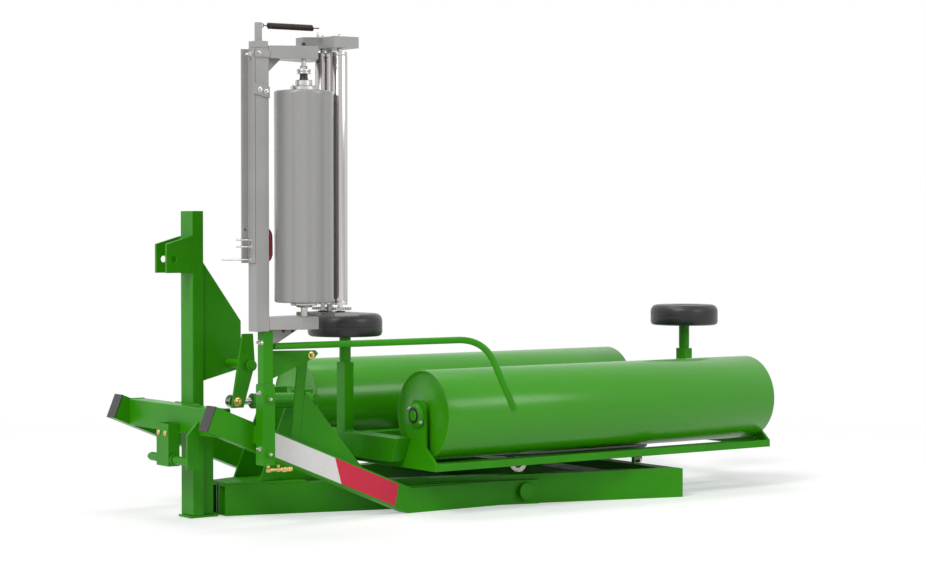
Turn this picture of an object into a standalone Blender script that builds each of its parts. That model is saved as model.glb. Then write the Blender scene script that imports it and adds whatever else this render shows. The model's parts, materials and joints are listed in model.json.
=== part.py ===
"""Bale wrapper: a linkage-mounted turntable with two rollers, a tilting floor frame and a film dispenser.

Metres, +Z up. +Y points to the rear, -Y to the tractor, +X to the dispenser side.
The origin lies on the floor, below the front face of the mast, on the centre plane.
"""

import math

import bmesh
import bpy
from mathutils import Matrix, Vector

for old in list(bpy.data.objects):
    bpy.data.objects.remove(old, do_unlink=True)

# ---------------------------------------------------------------- clearances
SEAT = 0.0003            # gap between pieces that are welded or bolted together
RUNNING = 0.006          # gap beside anything that turns
PIN_PLAY = 0.001         # radial play of a pin in its hole
WELD = 0.001             # depth of one welded piece in the other where they form one solid

# ---------------------------------------------------------------- hitch frame
MAST_WIDTH = 0.090
MAST_DEPTH = 0.045
MAST_HEIGHT = 1.120
MAST_WALL = 0.005
FOOT_LENGTH = 0.060
FOOT_TOE = 0.012
FOOT_THICKNESS = 0.008
EAR_REACH = 0.106
EAR_BOTTOM = 0.895
EAR_FRONT_TOP = 1.000
EAR_REAR_TOP = 1.030
EAR_THICKNESS = 0.012
EAR_PIN_HEIGHT = 0.945
EAR_PIN_REACH = 0.075
EAR_PIN_RADIUS = 0.0128
CROSSBAR_LENGTH = 0.638
CROSSBAR_HEIGHT = 0.098
CROSSBAR_DEPTH = 0.070
CROSSBAR_BOTTOM = 0.319
CROSSBAR_WALL = 0.006
ARM_WIDTH = 0.062
ARM_HEIGHT = 0.0926
ARM_WALL = 0.006
ARM_SLOPE = math.radians(22.3)
ARM_BEND_Y = 0.726
ARM_FRONT_Y = -0.115
REAR_POST_WIDTH = 0.060
REAR_POST_DEPTH = 0.048
REAR_POST_HEIGHT = 0.300
GUSSET_OFFSET = 0.031
GUSSET_THICKNESS = 0.008
GUSSET_REACH = 0.205
GUSSET_TOP = 0.935
GUSSET_CORNER = 0.715
GUSSET_TOE = 0.540
GUSSET_BOTTOM = 0.500
LINK_BAR_RADIUS = 0.016
LINK_BAR_HEIGHT = 0.222
LINK_BAR_ENDS = (-0.112, 0.200)
HANGER_WIDTH = 0.090
HANGER_DEPTH = 0.046
HANGER_X = 0.027
HANGER_TOP = 0.352
HANGER_WALL = 0.008
BRACE_THICKNESS = 0.012

# ---------------------------------------------------------------- tilting floor frame
TILT_AHEAD = 0.310               # tilt axis ahead of the turntable's axis
TILT_Z = 0.050
TILT_PIN_RADIUS = 0.018
TILT_PIN_LENGTH = 0.060
TILT_HEAD_RADIUS = 0.026
TILT_HEAD_THICKNESS = 0.007
TILT_PLATE_TAIL = 0.0556         # plate behind the tilt pin
TILT_PLATE_THICKNESS = 0.010
BEAM_HEIGHT = 0.113
BEAM_WIDTH = 0.050
BEAM_WALL = 0.005
BEAM_FRONT = (0.058, 0.127)      # outer face of the near beam, x and y
BEAM_SEAT = 0.0052               # between a front wheel bracket's middle and the beam's inner face
BEAM_TAIL = 0.034                # floor beams behind the rear support wheels
REAR_MEMBER_DEPTH = 0.060
HUB_MEMBER_WIDTH = 0.120
HUB_MEMBER_HEIGHT = 0.090
NOSE_PLATE_THICKNESS = 0.010
NOSE_PLATE_REACH = 0.420
LEVER_OFFSET = 0.098             # outer face of a lever plate
LEVER_THICKNESS = 0.010
LEVER_FRONT_Y = 0.250
LEVER_TAIL = 0.170               # lever plate behind the nose plate
LEVER_TAIL_HEIGHT = 0.022
LEVER_WAIST = (0.076, 0.110)     # behind the pin, above the nose plate
LEVER_HEAD = (0.050, 0.040, 0.036)   # ahead of, behind and above the pin
LEVER_PIN_Y = 0.440
LEVER_PIN_Z = 0.420
LEVER_PIN_RADIUS = 0.012
MAST_PIN_Y = 0.100
MAST_PIN_Z = 0.430
CYLINDER_X = 0.160
BARREL_RADIUS = 0.028
ROD_RADIUS = 0.0125
EYE_RADIUS = 0.024
EYE_WIDTH = 0.030
PIN_TAIL = 0.005                 # rod's pin beyond its eye
BARREL_LENGTH = 0.262
BARREL_HEAD = 1.4                # solid end of the barrel, in eye radii
SHAFT_HEIGHT = 0.565
SHAFT_Y = 0.150
SHAFT_RADIUS = 0.014
STRUT_THICKNESS = 0.012
STRUT_RISE = 0.110               # strut above the cross shaft
STRUT_TOP = (0.026, 0.016)       # ahead of and behind the shaft, at its top
STRUT_WAIST = 0.024              # behind the shaft
STRUT_TOE = (0.022, 0.026, 0.022)    # ahead of, behind and below the rod's pin

# ---------------------------------------------------------------- turntable
TABLE_FRONT_Y = 0.6597           # front face of the front end member
DISC_THICKNESS = 0.010
WHEEL_INSET = 0.0297             # middle of the support wheels inside the disc's edge
WHEEL_RADIUS = 0.031
WHEEL_WIDTH = 0.024
WHEEL_ANGLE = 40.0               # from the cross line through the turntable's axis, in degrees
AXLE_RADIUS = 0.006
BRACKET_GAP = 0.002
BRACKET_THICKNESS = 0.010
BRACKET_WIDTH = 0.040
HUB_RADIUS = 0.075
SIDE_RAIL_X = 0.530
SIDE_RAIL_WIDTH = 0.060
SIDE_RAIL_HEIGHT = 0.028
LONG_BEAM_X = 0.210
LONG_BEAM_WIDTH = 0.060
LONG_BEAM_HEIGHT = 0.060
END_PLATE_THICKNESS = 0.012
END_MEMBER_DEPTH = 0.056
END_MEMBER_HEIGHT = 0.090
END_MEMBER_HALF = 0.400
END_MEMBER_SLOPE = 0.045
END_GAP = 0.012                  # between a roller's end and its end plate
EAR_HALF = 0.048                 # half width of a bearing ear
EAR_CROWN = 0.025                # chamfer of a bearing ear
EAR_RISES = {"front": 0.057, "rear": 0.112}      # bearing ear above the roller's axis
EAR_SHOULDER = 0.060             # outer foot of the ear above the table
EAR_INNER_DROP = 0.010           # inner foot of the ear below the end member's top
ROLLER_RADIUS = 0.166
ROLLER_LENGTH = 1.620
ROLLER_X = 0.445
ROLLER_CLEARANCE = 0.0104        # below the rollers, to the disc's upper side
ROLLER_SHAFT_RADIUS = 0.020
ROLLER_SHAFT_TAIL = 0.022        # shaft beyond the end plate
ROLLER_SHELL_LIP = 0.006
ROLLER_RECESS = 0.006
GUIDE_POST_WIDTH = 0.056
GUIDE_POST_DEPTH = 0.040
GUIDE_POST_TOP = 0.545
GUIDE_WHEEL_RADIUS = 0.143
GUIDE_WHEEL_HEIGHT = 0.086
GUIDE_WHEEL_BOTTOM = 0.645
GUIDE_SPINDLE_RADIUS = 0.013
GUIDE_COLLAR_RADIUS = 0.0221
GUIDE_CAP_THICKNESS = 0.008
GUIDE_WHEEL_EDGE = 0.014
GUIDE_WHEEL_SHOULDER = 0.030
GUIDE_WHEEL_DISH = 0.004

# ---------------------------------------------------------------- film dispenser
POST_STANDOFF = 0.0427           # middle of the post beside the near side tube
POST_Y = 0.079
POST_OVERLAP = 0.020             # foot of the inner post above the sleeve's
POST_BRACKET_LOW = 0.030
SLEEVE_SIDE = 0.050
SLEEVE_WALL = 0.0045
SLEEVE_BOTTOM = 0.222
SLEEVE_TOP = 0.505
INNER_POST_TOP = 0.694
RAIL_RADIUS = 0.012
RAIL_START_Z = 0.640
RAIL_CORNER = (0.376, 0.760, 0.662)  # beside the post, from the mast and above the floor
RAIL_TIP = (0.434, 0.852, 0.405)
RAIL_BEND = 0.095
RAIL_STEPS = 8
COLUMN_WIDTH = 0.056
COLUMN_DEPTH = 0.052
COLUMN_AHEAD = 0.052             # column's front face ahead of the post's middle
COLUMN_TOP = 1.682
COLUMN_WALL = 0.004
ARM_PLATE_HEIGHT = 0.045
BOTTOM_ARM_Z = 0.700
TOP_ARM_Z = 1.652
FILM_SIDE = 0.046                # film axis beside the post
FILM_SPACE = 0.027               # between the column and the film roll
FILM_GAP = 0.0175                # between the film roll and the front stretch roller
FILM_RADIUS = 0.105
FILM_WIDTH = 0.750
FILM_BOTTOM = 0.793
FILM_CORE_RADIUS = 0.038
CONE_FLANGE_RADIUS = 0.0475
CONE_REACH = 0.050
CONE_TAPER = 0.8
ARM_MARGIN = (0.040, 0.030, 0.036)   # arm plates beside, ahead of and behind the film axis
STRETCH_ROLLER_RADIUS = 0.0275
STRETCH_GEAR_RADIUS = 0.041
STRETCH_SHAFT_RADIUS = 0.009
STRETCH_SIDE = 0.002             # front stretch roller beside the film axis
STRETCH_PITCH = (0.087, 0.017)   # rear stretch roller from the front one
STRETCH_SWING = (0.005, 0.068)   # rear stretch roller from the carriage's pivot
PLATE_MARGINS = (0.055, 0.048, 0.050)    # carriage plate beside and behind its rollers
PLATE_SHOULDER = 0.032           # carriage plate behind the pivot
PIVOT_TAB = 0.026
ARM_END_STEPS = 6                # sides of the arms' round end about the pivot
ARM_END_ANGLES = (60.0, 180.0)
TOP_PLATE_THICKNESS = 0.040
BOTTOM_PLATE_THICKNESS = 0.012
CARRIAGE_POST_SIDE = 0.016
POST_INSET = 0.002
STRETCH_GEAR_Z = (0.007, 0.017)  # gear's faces above the bottom plate
STRETCH_ENDS = (0.026, 0.012)    # bare shaft below and above a stretch roller
SPRING_Z = 1.768
SPRING_RADIUS = 0.012
SPRING_HOOK_RADIUS = 0.0042
SPRING_HOOK_LENGTH = 0.022
SPRING_END = (0.060, -0.020)     # beside and ahead of the carriage's pivot
ANCHOR_HALF = 0.010
HANDLE_LOW = 0.930
HANDLE_HIGH = 1.060
HANDLE_REACH = 0.030
HANDLE_HALF = 0.012

# ---------------------------------------------------------------- derived places
END_PLATE_Y = ROLLER_LENGTH / 2 + END_GAP
TABLE_Y = TABLE_FRONT_Y + END_MEMBER_DEPTH + SEAT + END_PLATE_THICKNESS + END_PLATE_Y
TILT_Y = TABLE_Y - TILT_AHEAD
DISC_RADIUS = SIDE_RAIL_X - SIDE_RAIL_WIDTH / 2 - SEAT
WHEEL_RING_RADIUS = DISC_RADIUS - WHEEL_INSET
BEAM_REAR_Y = TABLE_Y + WHEEL_RING_RADIUS * math.sin(math.radians(WHEEL_ANGLE)) + BEAM_TAIL
BRACKET_RING = WHEEL_RING_RADIUS - WHEEL_WIDTH / 2 - BRACKET_GAP - BRACKET_THICKNESS / 2
BRACKET_SIDE = BRACKET_RING * math.cos(math.radians(WHEEL_ANGLE))
BRACKET_AHEAD = BRACKET_RING * math.sin(math.radians(WHEEL_ANGLE))
BEAM_RISE = BRACKET_SIDE + BEAM_WIDTH + BEAM_SEAT - BEAM_FRONT[0]
BEAM_SLOPE = BEAM_RISE / (TABLE_Y - BRACKET_AHEAD - BEAM_FRONT[1])
BEAM_ANGLE = math.atan(BEAM_SLOPE)
BEAM_SPREAD = BEAM_WIDTH / math.cos(BEAM_ANGLE)
ARM_INNER_X = CROSSBAR_LENGTH / 2 + SEAT
ARM_CENTRE_X = ARM_INNER_X + ARM_WIDTH / 2
ARM_OUTER_X = ARM_INNER_X + ARM_WIDTH
WHEEL_Z = BEAM_HEIGHT + RUNNING + WHEEL_RADIUS
DISC_BOTTOM = WHEEL_Z + WHEEL_RADIUS + SEAT
TABLE_Z = DISC_BOTTOM + DISC_THICKNESS + SEAT
ROLLER_Z = TABLE_Z + ROLLER_CLEARANCE + ROLLER_RADIUS
SIDE_RAIL_TOP = ROLLER_Z - ROLLER_RADIUS - RUNNING
SIDE_RAIL_BOTTOM = SIDE_RAIL_TOP - SIDE_RAIL_HEIGHT
GUIDE_REACH = END_PLATE_Y + END_PLATE_THICKNESS + SEAT + END_MEMBER_DEPTH / 2
END_MEMBER_TOP = TABLE_Z + END_MEMBER_HEIGHT
POST_X = ARM_OUTER_X + POST_STANDOFF
COLUMN_FRONT = POST_Y - COLUMN_AHEAD
COLUMN_REAR = COLUMN_FRONT + COLUMN_DEPTH
FILM_X = POST_X + FILM_SIDE
FILM_Y = COLUMN_REAR + FILM_SPACE + FILM_RADIUS
STRETCH_FRONT = (FILM_X + STRETCH_SIDE, FILM_Y + FILM_RADIUS + FILM_GAP + STRETCH_ROLLER_RADIUS)
STRETCH_REAR = (STRETCH_FRONT[0] - STRETCH_PITCH[0], STRETCH_FRONT[1] - STRETCH_PITCH[1])
CARRIAGE_X = STRETCH_REAR[0] - STRETCH_SWING[0]
CARRIAGE_Y = STRETCH_REAR[1] - STRETCH_SWING[1]
PLATE_X = (STRETCH_REAR[0] - PLATE_MARGINS[0], STRETCH_FRONT[0] + PLATE_MARGINS[1])
PLATE_Y = (CARRIAGE_Y + PLATE_SHOULDER, STRETCH_FRONT[1] + PLATE_MARGINS[2])
ARM_END_RADIUS = math.hypot(*STRETCH_SWING) - STRETCH_ROLLER_RADIUS - RUNNING

GREEN = (0.045, 0.300, 0.010, 1.0)
STEEL = (0.45, 0.45, 0.45, 1.0)
CHROME = (0.70, 0.70, 0.70, 1.0)
DARK = (0.025, 0.025, 0.025, 1.0)
GREY_PAINT = (0.38, 0.38, 0.375, 1.0)
FILM = (0.42, 0.42, 0.42, 1.0)
RED = (0.45, 0.01, 0.03, 1.0)


def material(name, colour, roughness, metallic):
    """A Principled material, made once for each name."""
    found = bpy.data.materials.get(name)
    if found:
        return found
    made = bpy.data.materials.new(name)
    made.use_nodes = True
    shader = made.node_tree.nodes["Principled BSDF"]
    shader.inputs["Base Color"].default_value = colour
    shader.inputs["Roughness"].default_value = roughness
    shader.inputs["Metallic"].default_value = metallic
    return made


FINISH = {
    "green": material("green_paint", GREEN, 0.35, 0.0),
    "steel": material("zinc_steel", STEEL, 0.40, 1.0),
    "chrome": material("chrome_steel", CHROME, 0.12, 1.0),
    "dark": material("dark_steel", DARK, 0.60, 0.4),
    "rubber": material("black_rubber", DARK, 0.70, 0.0),
    "grey": material("grey_paint", GREY_PAINT, 0.45, 0.0),
    "film": material("film_wrap", FILM, 0.30, 0.0),
    "red": material("red_plastic", RED, 0.40, 0.0),
}


def empty(name, place, parent=None):
    """An empty that holds a moving body's pieces on its joint axis."""
    made = bpy.data.objects.new(name, None)
    bpy.context.collection.objects.link(made)
    made.location = Vector(place) - (parent_place(parent) if parent else Vector())
    made.parent = parent
    return made


def parent_place(parent):
    """World place of an empty in a chain of unrotated empties."""
    place = Vector(parent.location)
    while parent.parent:
        parent = parent.parent
        place += parent.location
    return place


def finish_object(name, mesh_data, finish, parent, smooth=False):
    """Make a bmesh given in world coordinates into a named object under its parent."""
    origin = parent_place(parent) if parent else Vector()
    bmesh.ops.translate(mesh_data, verts=mesh_data.verts, vec=-origin)
    bmesh.ops.recalc_face_normals(mesh_data, faces=mesh_data.faces)
    mesh = bpy.data.meshes.new(name)
    mesh_data.to_mesh(mesh)
    mesh_data.free()
    if smooth:
        mesh.shade_smooth()
        mesh.set_sharp_from_angle(angle=math.radians(35))
    made = bpy.data.objects.new(name, mesh)
    bpy.context.collection.objects.link(made)
    made.parent = parent
    mesh.materials.append(FINISH[finish])
    return made


def box(name, low, high, finish, parent=None):
    """A plain block between two corners."""
    work = bmesh.new()
    size = [high[i] - low[i] for i in range(3)]
    middle = [(high[i] + low[i]) / 2 for i in range(3)]
    bmesh.ops.create_cube(work, size=1.0)
    bmesh.ops.scale(work, vec=size, verts=work.verts)
    bmesh.ops.translate(work, vec=middle, verts=work.verts)
    return finish_object(name, work, finish, parent)


def prism(name, outline, axis, low, high, finish, parent=None):
    """An outline of (a, b) points pushed along axis; (a, b) are the other two axes in x, y, z order."""
    work = bmesh.new()

    def point(pair, along):
        values = list(pair)
        values.insert("xyz".index(axis), along)
        return work.verts.new(values)

    first = [point(pair, low) for pair in outline]
    second = [point(pair, high) for pair in outline]
    work.faces.new(first)
    work.faces.new(list(reversed(second)))
    for i in range(len(outline)):
        j = (i + 1) % len(outline)
        work.faces.new((first[i], second[i], second[j], first[j]))
    return finish_object(name, work, finish, parent)


def tube(name, stations, wall, finish, parent=None):
    """A rectangular hollow section through stations of (centre, half side, half height) vectors."""
    work = bmesh.new()
    rings = []
    for centre, side, height in stations:
        ring = []
        for shrink in (0.0, wall):
            inner_side = side * (1 - shrink / stations[0][1].length)
            inner_height = height * (1 - shrink / stations[0][2].length)
            for a, b in ((-1, -1), (1, -1), (1, 1), (-1, 1)):
                ring.append(work.verts.new(centre + a * inner_side + b * inner_height))
        rings.append(ring)
    for here, there in zip(rings, rings[1:]):
        for k in range(4):
            n = (k + 1) % 4
            work.faces.new((here[k], here[n], there[n], there[k]))
            work.faces.new((here[4 + n], here[4 + k], there[4 + k], there[4 + n]))
    for ring in (rings[0], rings[-1]):
        for k in range(4):
            n = (k + 1) % 4
            work.faces.new((ring[k], ring[n], ring[4 + n], ring[4 + k]))
    return finish_object(name, work, finish, parent)


def square_tube(name, low, high, wall, axis, finish, parent=None):
    """A straight hollow section between two corners, open at both ends of its axis."""
    low, high = Vector(low), Vector(high)
    middle = (low + high) / 2
    index = "xyz".index(axis)
    halves = [Vector(), Vector()]
    for half, i in zip(halves, [i for i in range(3) if i != index]):
        half[i] = (high[i] - low[i]) / 2
    ends = []
    for value in (low[index], high[index]):
        centre = middle.copy()
        centre[index] = value
        ends.append((centre, halves[0], halves[1]))
    return tube(name, ends, wall, finish, parent)


def lathe(name, profile, centre, direction, sides, finish, parent=None):
    """Turn (radius, distance) points about a line; a profile that closes on itself makes a ring."""
    work = bmesh.new()
    turn = Vector((0, 0, 1)).rotation_difference(Vector(direction)).to_matrix().to_4x4()
    place = Matrix.Translation(Vector(centre)) @ turn
    rows = []
    for radius, distance in profile:
        if radius == 0:
            rows.append([work.verts.new(place @ Vector((0, 0, distance)))])
            continue
        row = []
        for k in range(sides):
            angle = 2 * math.pi * k / sides
            point = Vector((radius * math.cos(angle), radius * math.sin(angle), distance))
            row.append(work.verts.new(place @ point))
        rows.append(row)
    pairs = list(zip(rows, rows[1:]))
    if len(rows[0]) > 1 and len(rows[-1]) > 1:
        pairs.append((rows[-1], rows[0]))
    for here, there in pairs:
        for k in range(sides):
            n = (k + 1) % sides
            corners = [here[k % len(here)], here[n % len(here)], there[n % len(there)], there[k % len(there)]]
            unique = list(dict.fromkeys(corners))
            if len(unique) > 2:
                work.faces.new(unique)
    return finish_object(name, work, finish, parent, smooth=True)


def rod_profile(radius, start, end):
    """Profile of a plain round bar."""
    return [(0, start), (radius, start), (radius, end), (0, end)]


def ring_profile(inner, outer, start, end):
    """Profile of a plain ring or bush."""
    return [(inner, start), (outer, start), (outer, end), (inner, end)]


def boolean(target, tool, operation):
    """Cut target with tool, or join tool to it; the tool stays as a hidden guide."""
    tool.hide_render = True
    tool.display_type = "WIRE"
    change = target.modifiers.new(tool.name, "BOOLEAN")
    change.operation = operation
    change.solver = "EXACT"
    change.object = tool
    return target


def weld(target, piece):
    """Join a piece that reaches into target, so that the two are one solid."""
    piece.name = f"guide_{piece.name}"
    return boolean(target, piece, "UNION")


def cut_hole(target, radius, centre, direction, reach, parent=None):
    """Cut a round hole of the given half length through target."""
    guide = lathe(f"guide_{target.name}_{len(target.modifiers)}", rod_profile(radius, -reach, reach),
                  centre, direction, 24, "dark", parent)
    return boolean(target, guide, "DIFFERENCE")


def add_round(target, radius, centre, direction, start, end, parent=None):
    """Join a round stub to target."""
    guide = lathe(f"guide_{target.name}_{len(target.modifiers)}", rod_profile(radius, start, end),
                  centre, direction, 20, "steel", parent)
    return boolean(target, guide, "UNION")


def beam_outer(y):
    """Outer face of the near floor beam at a distance along the machine."""
    return BEAM_FRONT[0] + BEAM_SLOPE * (y - BEAM_FRONT[1])


# ---------------------------------------------------------------- joint axes
tilt_axis = empty("tilt_axis", (0, TILT_Y, TILT_Z))
table_axis = empty("table_axis", (0, TABLE_Y, TABLE_Z), tilt_axis)
carriage_axis = empty("carriage_axis", (CARRIAGE_X, CARRIAGE_Y, TOP_ARM_Z))
film_axis = empty("film_axis", (FILM_X, FILM_Y, FILM_BOTTOM))
barrel_axis = empty("barrel_axis", (CYLINDER_X, LEVER_PIN_Y, LEVER_PIN_Z), tilt_axis)
rod_axis = empty("rod_axis", (CYLINDER_X, MAST_PIN_Y, MAST_PIN_Z), barrel_axis)


def build_mast():
    """Upright with its foot, top link ears and stiffening plates."""
    half = MAST_WIDTH / 2
    foot_top = FOOT_THICKNESS + SEAT
    square_tube("mast", (-half, 0, foot_top), (half, MAST_DEPTH, MAST_HEIGHT), MAST_WALL, "z", "green")
    box("mast_foot", (-half, -FOOT_TOE, 0), (half, MAST_DEPTH + FOOT_LENGTH, FOOT_THICKNESS), "green")
    side = [(-SEAT, EAR_BOTTOM), (-EAR_REACH, EAR_BOTTOM), (-EAR_REACH, EAR_FRONT_TOP), (-SEAT, EAR_REAR_TOP)]
    ears = prism("top_link_ears", side, "x", -half, half, "green")
    gap = half - EAR_THICKNESS
    slot = box("guide_ear_slot", (-gap, -2 * EAR_REACH, 0), (gap, -EAR_THICKNESS, MAST_HEIGHT), "green")
    boolean(ears, slot, "DIFFERENCE")
    cut_hole(ears, EAR_PIN_RADIUS, (0, -EAR_PIN_REACH, EAR_PIN_HEIGHT), (1, 0, 0), MAST_WIDTH)
    rear = MAST_DEPTH + SEAT
    outline = [(rear, GUSSET_BOTTOM), (GUSSET_REACH, GUSSET_TOE), (GUSSET_REACH, GUSSET_CORNER),
               (rear, GUSSET_TOP)]
    for tag, sign in (("near", 1), ("far", -1)):
        faces = sorted((sign * GUSSET_OFFSET, sign * (GUSSET_OFFSET + GUSSET_THICKNESS)))
        prism(f"mast_gusset_{tag}", outline, "x", faces[0], faces[1], "green")
    half_post = REAR_POST_WIDTH / 2
    square_tube("mast_rear_post", (-half_post, rear, foot_top),
                (half_post, rear + REAR_POST_DEPTH, REAR_POST_HEIGHT), MAST_WALL, "z", "green")


def build_crossbar():
    """Front crossbar with the lower link bar that hangs below it."""
    half = CROSSBAR_LENGTH / 2
    top = CROSSBAR_BOTTOM + CROSSBAR_HEIGHT
    front = -SEAT - CROSSBAR_DEPTH
    square_tube("crossbar", (-half, front, CROSSBAR_BOTTOM), (half, -SEAT, top), CROSSBAR_WALL, "x", "green")
    outer_front = front - SEAT - HANGER_DEPTH
    low = LINK_BAR_HEIGHT - LINK_BAR_RADIUS - HANGER_WALL
    plan = [(HANGER_X - HANGER_WIDTH / 2, front - SEAT), (HANGER_X - HANGER_WIDTH / 2, outer_front),
            (HANGER_X + HANGER_WIDTH / 2, outer_front), (HANGER_X + HANGER_WIDTH / 2, front - SEAT)]
    hanger = prism("link_hanger", plan, "z", low, HANGER_TOP, "green")
    inside = HANGER_WIDTH / 2 - HANGER_WALL
    slot = box("guide_hanger_slot", (HANGER_X - inside, outer_front + HANGER_WALL, 0),
               (HANGER_X + inside, 0, top), "green")
    boolean(hanger, slot, "DIFFERENCE")
    bar_y = outer_front + HANGER_DEPTH / 2
    cut_hole(hanger, LINK_BAR_RADIUS + SEAT, (HANGER_X, bar_y, LINK_BAR_HEIGHT), (1, 0, 0), HANGER_WIDTH)
    lathe("link_bar", rod_profile(LINK_BAR_RADIUS, LINK_BAR_ENDS[0], LINK_BAR_ENDS[1]),
          (0, bar_y, LINK_BAR_HEIGHT), (1, 0, 0), 20, "green")
    near_face = LINK_BAR_ENDS[1] + SEAT
    brace = [(front - SEAT, CROSSBAR_BOTTOM + CROSSBAR_HEIGHT / 2), (outer_front, CROSSBAR_BOTTOM),
             (outer_front, low), (bar_y + 2 * LINK_BAR_RADIUS, low),
             (front - SEAT, CROSSBAR_BOTTOM - LINK_BAR_RADIUS)]
    prism("link_brace", brace, "x", near_face, near_face + BRACE_THICKNESS, "green")


def build_side_tube(tag, sign):
    """One bent side tube, from the crossbar's end down to the tilt pin, with its pivot plate."""
    half_side = Vector((ARM_WIDTH / 2, 0, 0))
    half = ARM_HEIGHT / 2
    along = Vector((0, -math.cos(ARM_SLOPE), math.sin(ARM_SLOPE)))
    across = Vector((0, math.sin(ARM_SLOPE), math.cos(ARM_SLOPE)))
    bend = Vector((sign * ARM_CENTRE_X, ARM_BEND_Y, half))
    front = bend + along * ((ARM_BEND_Y - ARM_FRONT_Y) / math.cos(ARM_SLOPE))
    mitre = Vector((0, math.tan(ARM_SLOPE / 2), 1)) * half
    standoff = (RUNNING + TILT_PLATE_THICKNESS - WELD) / math.cos(BEAM_ANGLE)
    end_y = BEAM_FRONT[1] + (ARM_CENTRE_X - standoff - BEAM_FRONT[0]) / BEAM_SLOPE
    end = Vector((sign * ARM_CENTRE_X, end_y, half))
    slanted = half_side + Vector((0, sign * ARM_WIDTH / 2 / BEAM_SLOPE, 0))
    level = Vector((0, 0, half))
    stations = [(front, half_side, across * half), (bend, half_side, mitre), (end, slanted, level)]
    side_tube = tube(f"side_tube_{tag}", stations, ARM_WALL, "green")
    start_y = end_y - ARM_WIDTH / 2 / BEAM_SLOPE
    finish_y = TILT_Y + TILT_PLATE_TAIL
    inner = RUNNING / math.cos(BEAM_ANGLE)
    outer = inner + TILT_PLATE_THICKNESS / math.cos(BEAM_ANGLE)
    plan = []
    for y, offset in ((start_y, inner), (finish_y, inner), (finish_y, outer), (start_y, outer)):
        plan.append((sign * (beam_outer(y) + offset), y))
    weld(side_tube, prism(f"tilt_plate_{tag}", plan, "z", SEAT, ARM_HEIGHT - SEAT, "green"))
    face = beam_outer(TILT_Y + TILT_HEAD_RADIUS) + outer
    profile = [(0, -TILT_PIN_LENGTH), (TILT_PIN_RADIUS, -TILT_PIN_LENGTH), (TILT_PIN_RADIUS, 0),
               (TILT_HEAD_RADIUS, 0), (TILT_HEAD_RADIUS, TILT_HEAD_THICKNESS), (0, TILT_HEAD_THICKNESS)]
    pin = lathe(f"tilt_pin_{tag}", profile, (sign * face, TILT_Y, TILT_Z), (sign, 0, 0), 24, "steel")
    weld(side_tube, pin)


def build_cylinder_seat():
    """Cross shaft and strut beside the rod's pin, behind the mast."""
    start = GUSSET_OFFSET + GUSSET_THICKNESS + SEAT
    inner = CYLINDER_X + EYE_WIDTH / 2 + RUNNING
    ahead, behind, below = STRUT_TOE
    top = SHAFT_HEIGHT + STRUT_RISE
    outline = [(SHAFT_Y - STRUT_TOP[0], top), (SHAFT_Y + STRUT_TOP[1], top),
               (SHAFT_Y + STRUT_WAIST, SHAFT_HEIGHT), (MAST_PIN_Y + behind, MAST_PIN_Z - below),
               (MAST_PIN_Y - ahead, MAST_PIN_Z - below)]
    strut = prism("cylinder_strut", outline, "x", inner, inner + STRUT_THICKNESS, "green")
    add_round(strut, SHAFT_RADIUS, (0, SHAFT_Y, SHAFT_HEIGHT), (1, 0, 0), start, inner + STRUT_THICKNESS / 2)


def build_floor_frame():
    """The V of floor beams, the members that tie it and the lever plates at its nose."""
    for tag, sign in (("near", 1), ("far", -1)):
        stations = []
        for y in (BEAM_FRONT[1], BEAM_REAR_Y):
            centre = Vector((sign * (beam_outer(y) - BEAM_SPREAD / 2), y, BEAM_HEIGHT / 2))
            stations.append((centre, Vector((sign * BEAM_SPREAD / 2, 0, 0)), Vector((0, 0, BEAM_HEIGHT / 2))))
        beam = tube(f"floor_beam_{tag}", stations, BEAM_WALL, "green", tilt_axis)
        cut_hole(beam, TILT_PIN_RADIUS + PIN_PLAY, (sign * beam_outer(TILT_Y), TILT_Y, TILT_Z), (1, 0, 0),
                 BEAM_WIDTH / 2, tilt_axis)
    member_y = BEAM_REAR_Y - REAR_MEMBER_DEPTH
    inner_rear = beam_outer(BEAM_REAR_Y) - BEAM_SPREAD - SEAT
    inner_front = beam_outer(member_y) - BEAM_SPREAD - SEAT
    rear = [(-inner_rear, BEAM_REAR_Y), (-inner_front, member_y), (inner_front, member_y),
            (inner_rear, BEAM_REAR_Y)]
    prism("rear_cross_member", rear, "z", 0, BEAM_HEIGHT, "green", tilt_axis)
    front_y, back_y = TABLE_Y - HUB_MEMBER_WIDTH / 2, TABLE_Y + HUB_MEMBER_WIDTH / 2
    front_x = beam_outer(front_y) - BEAM_SPREAD - SEAT
    back_x = beam_outer(back_y) - BEAM_SPREAD - SEAT
    plan = [(-front_x, front_y), (front_x, front_y), (back_x, back_y), (-back_x, back_y)]
    prism("hub_cross_member", plan, "z", BEAM_HEIGHT - HUB_MEMBER_HEIGHT, BEAM_HEIGHT, "green", tilt_axis)
    nose_top = BEAM_HEIGHT + SEAT + NOSE_PLATE_THICKNESS
    front_edge = BEAM_FRONT[0]
    back_edge = beam_outer(NOSE_PLATE_REACH)
    nose = [(-front_edge, BEAM_FRONT[1]), (front_edge, BEAM_FRONT[1]), (back_edge, NOSE_PLATE_REACH),
            (-back_edge, NOSE_PLATE_REACH)]
    prism("nose_plate", nose, "z", BEAM_HEIGHT + SEAT, nose_top, "green", tilt_axis)
    build_tilt_lever(nose_top + SEAT)


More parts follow.
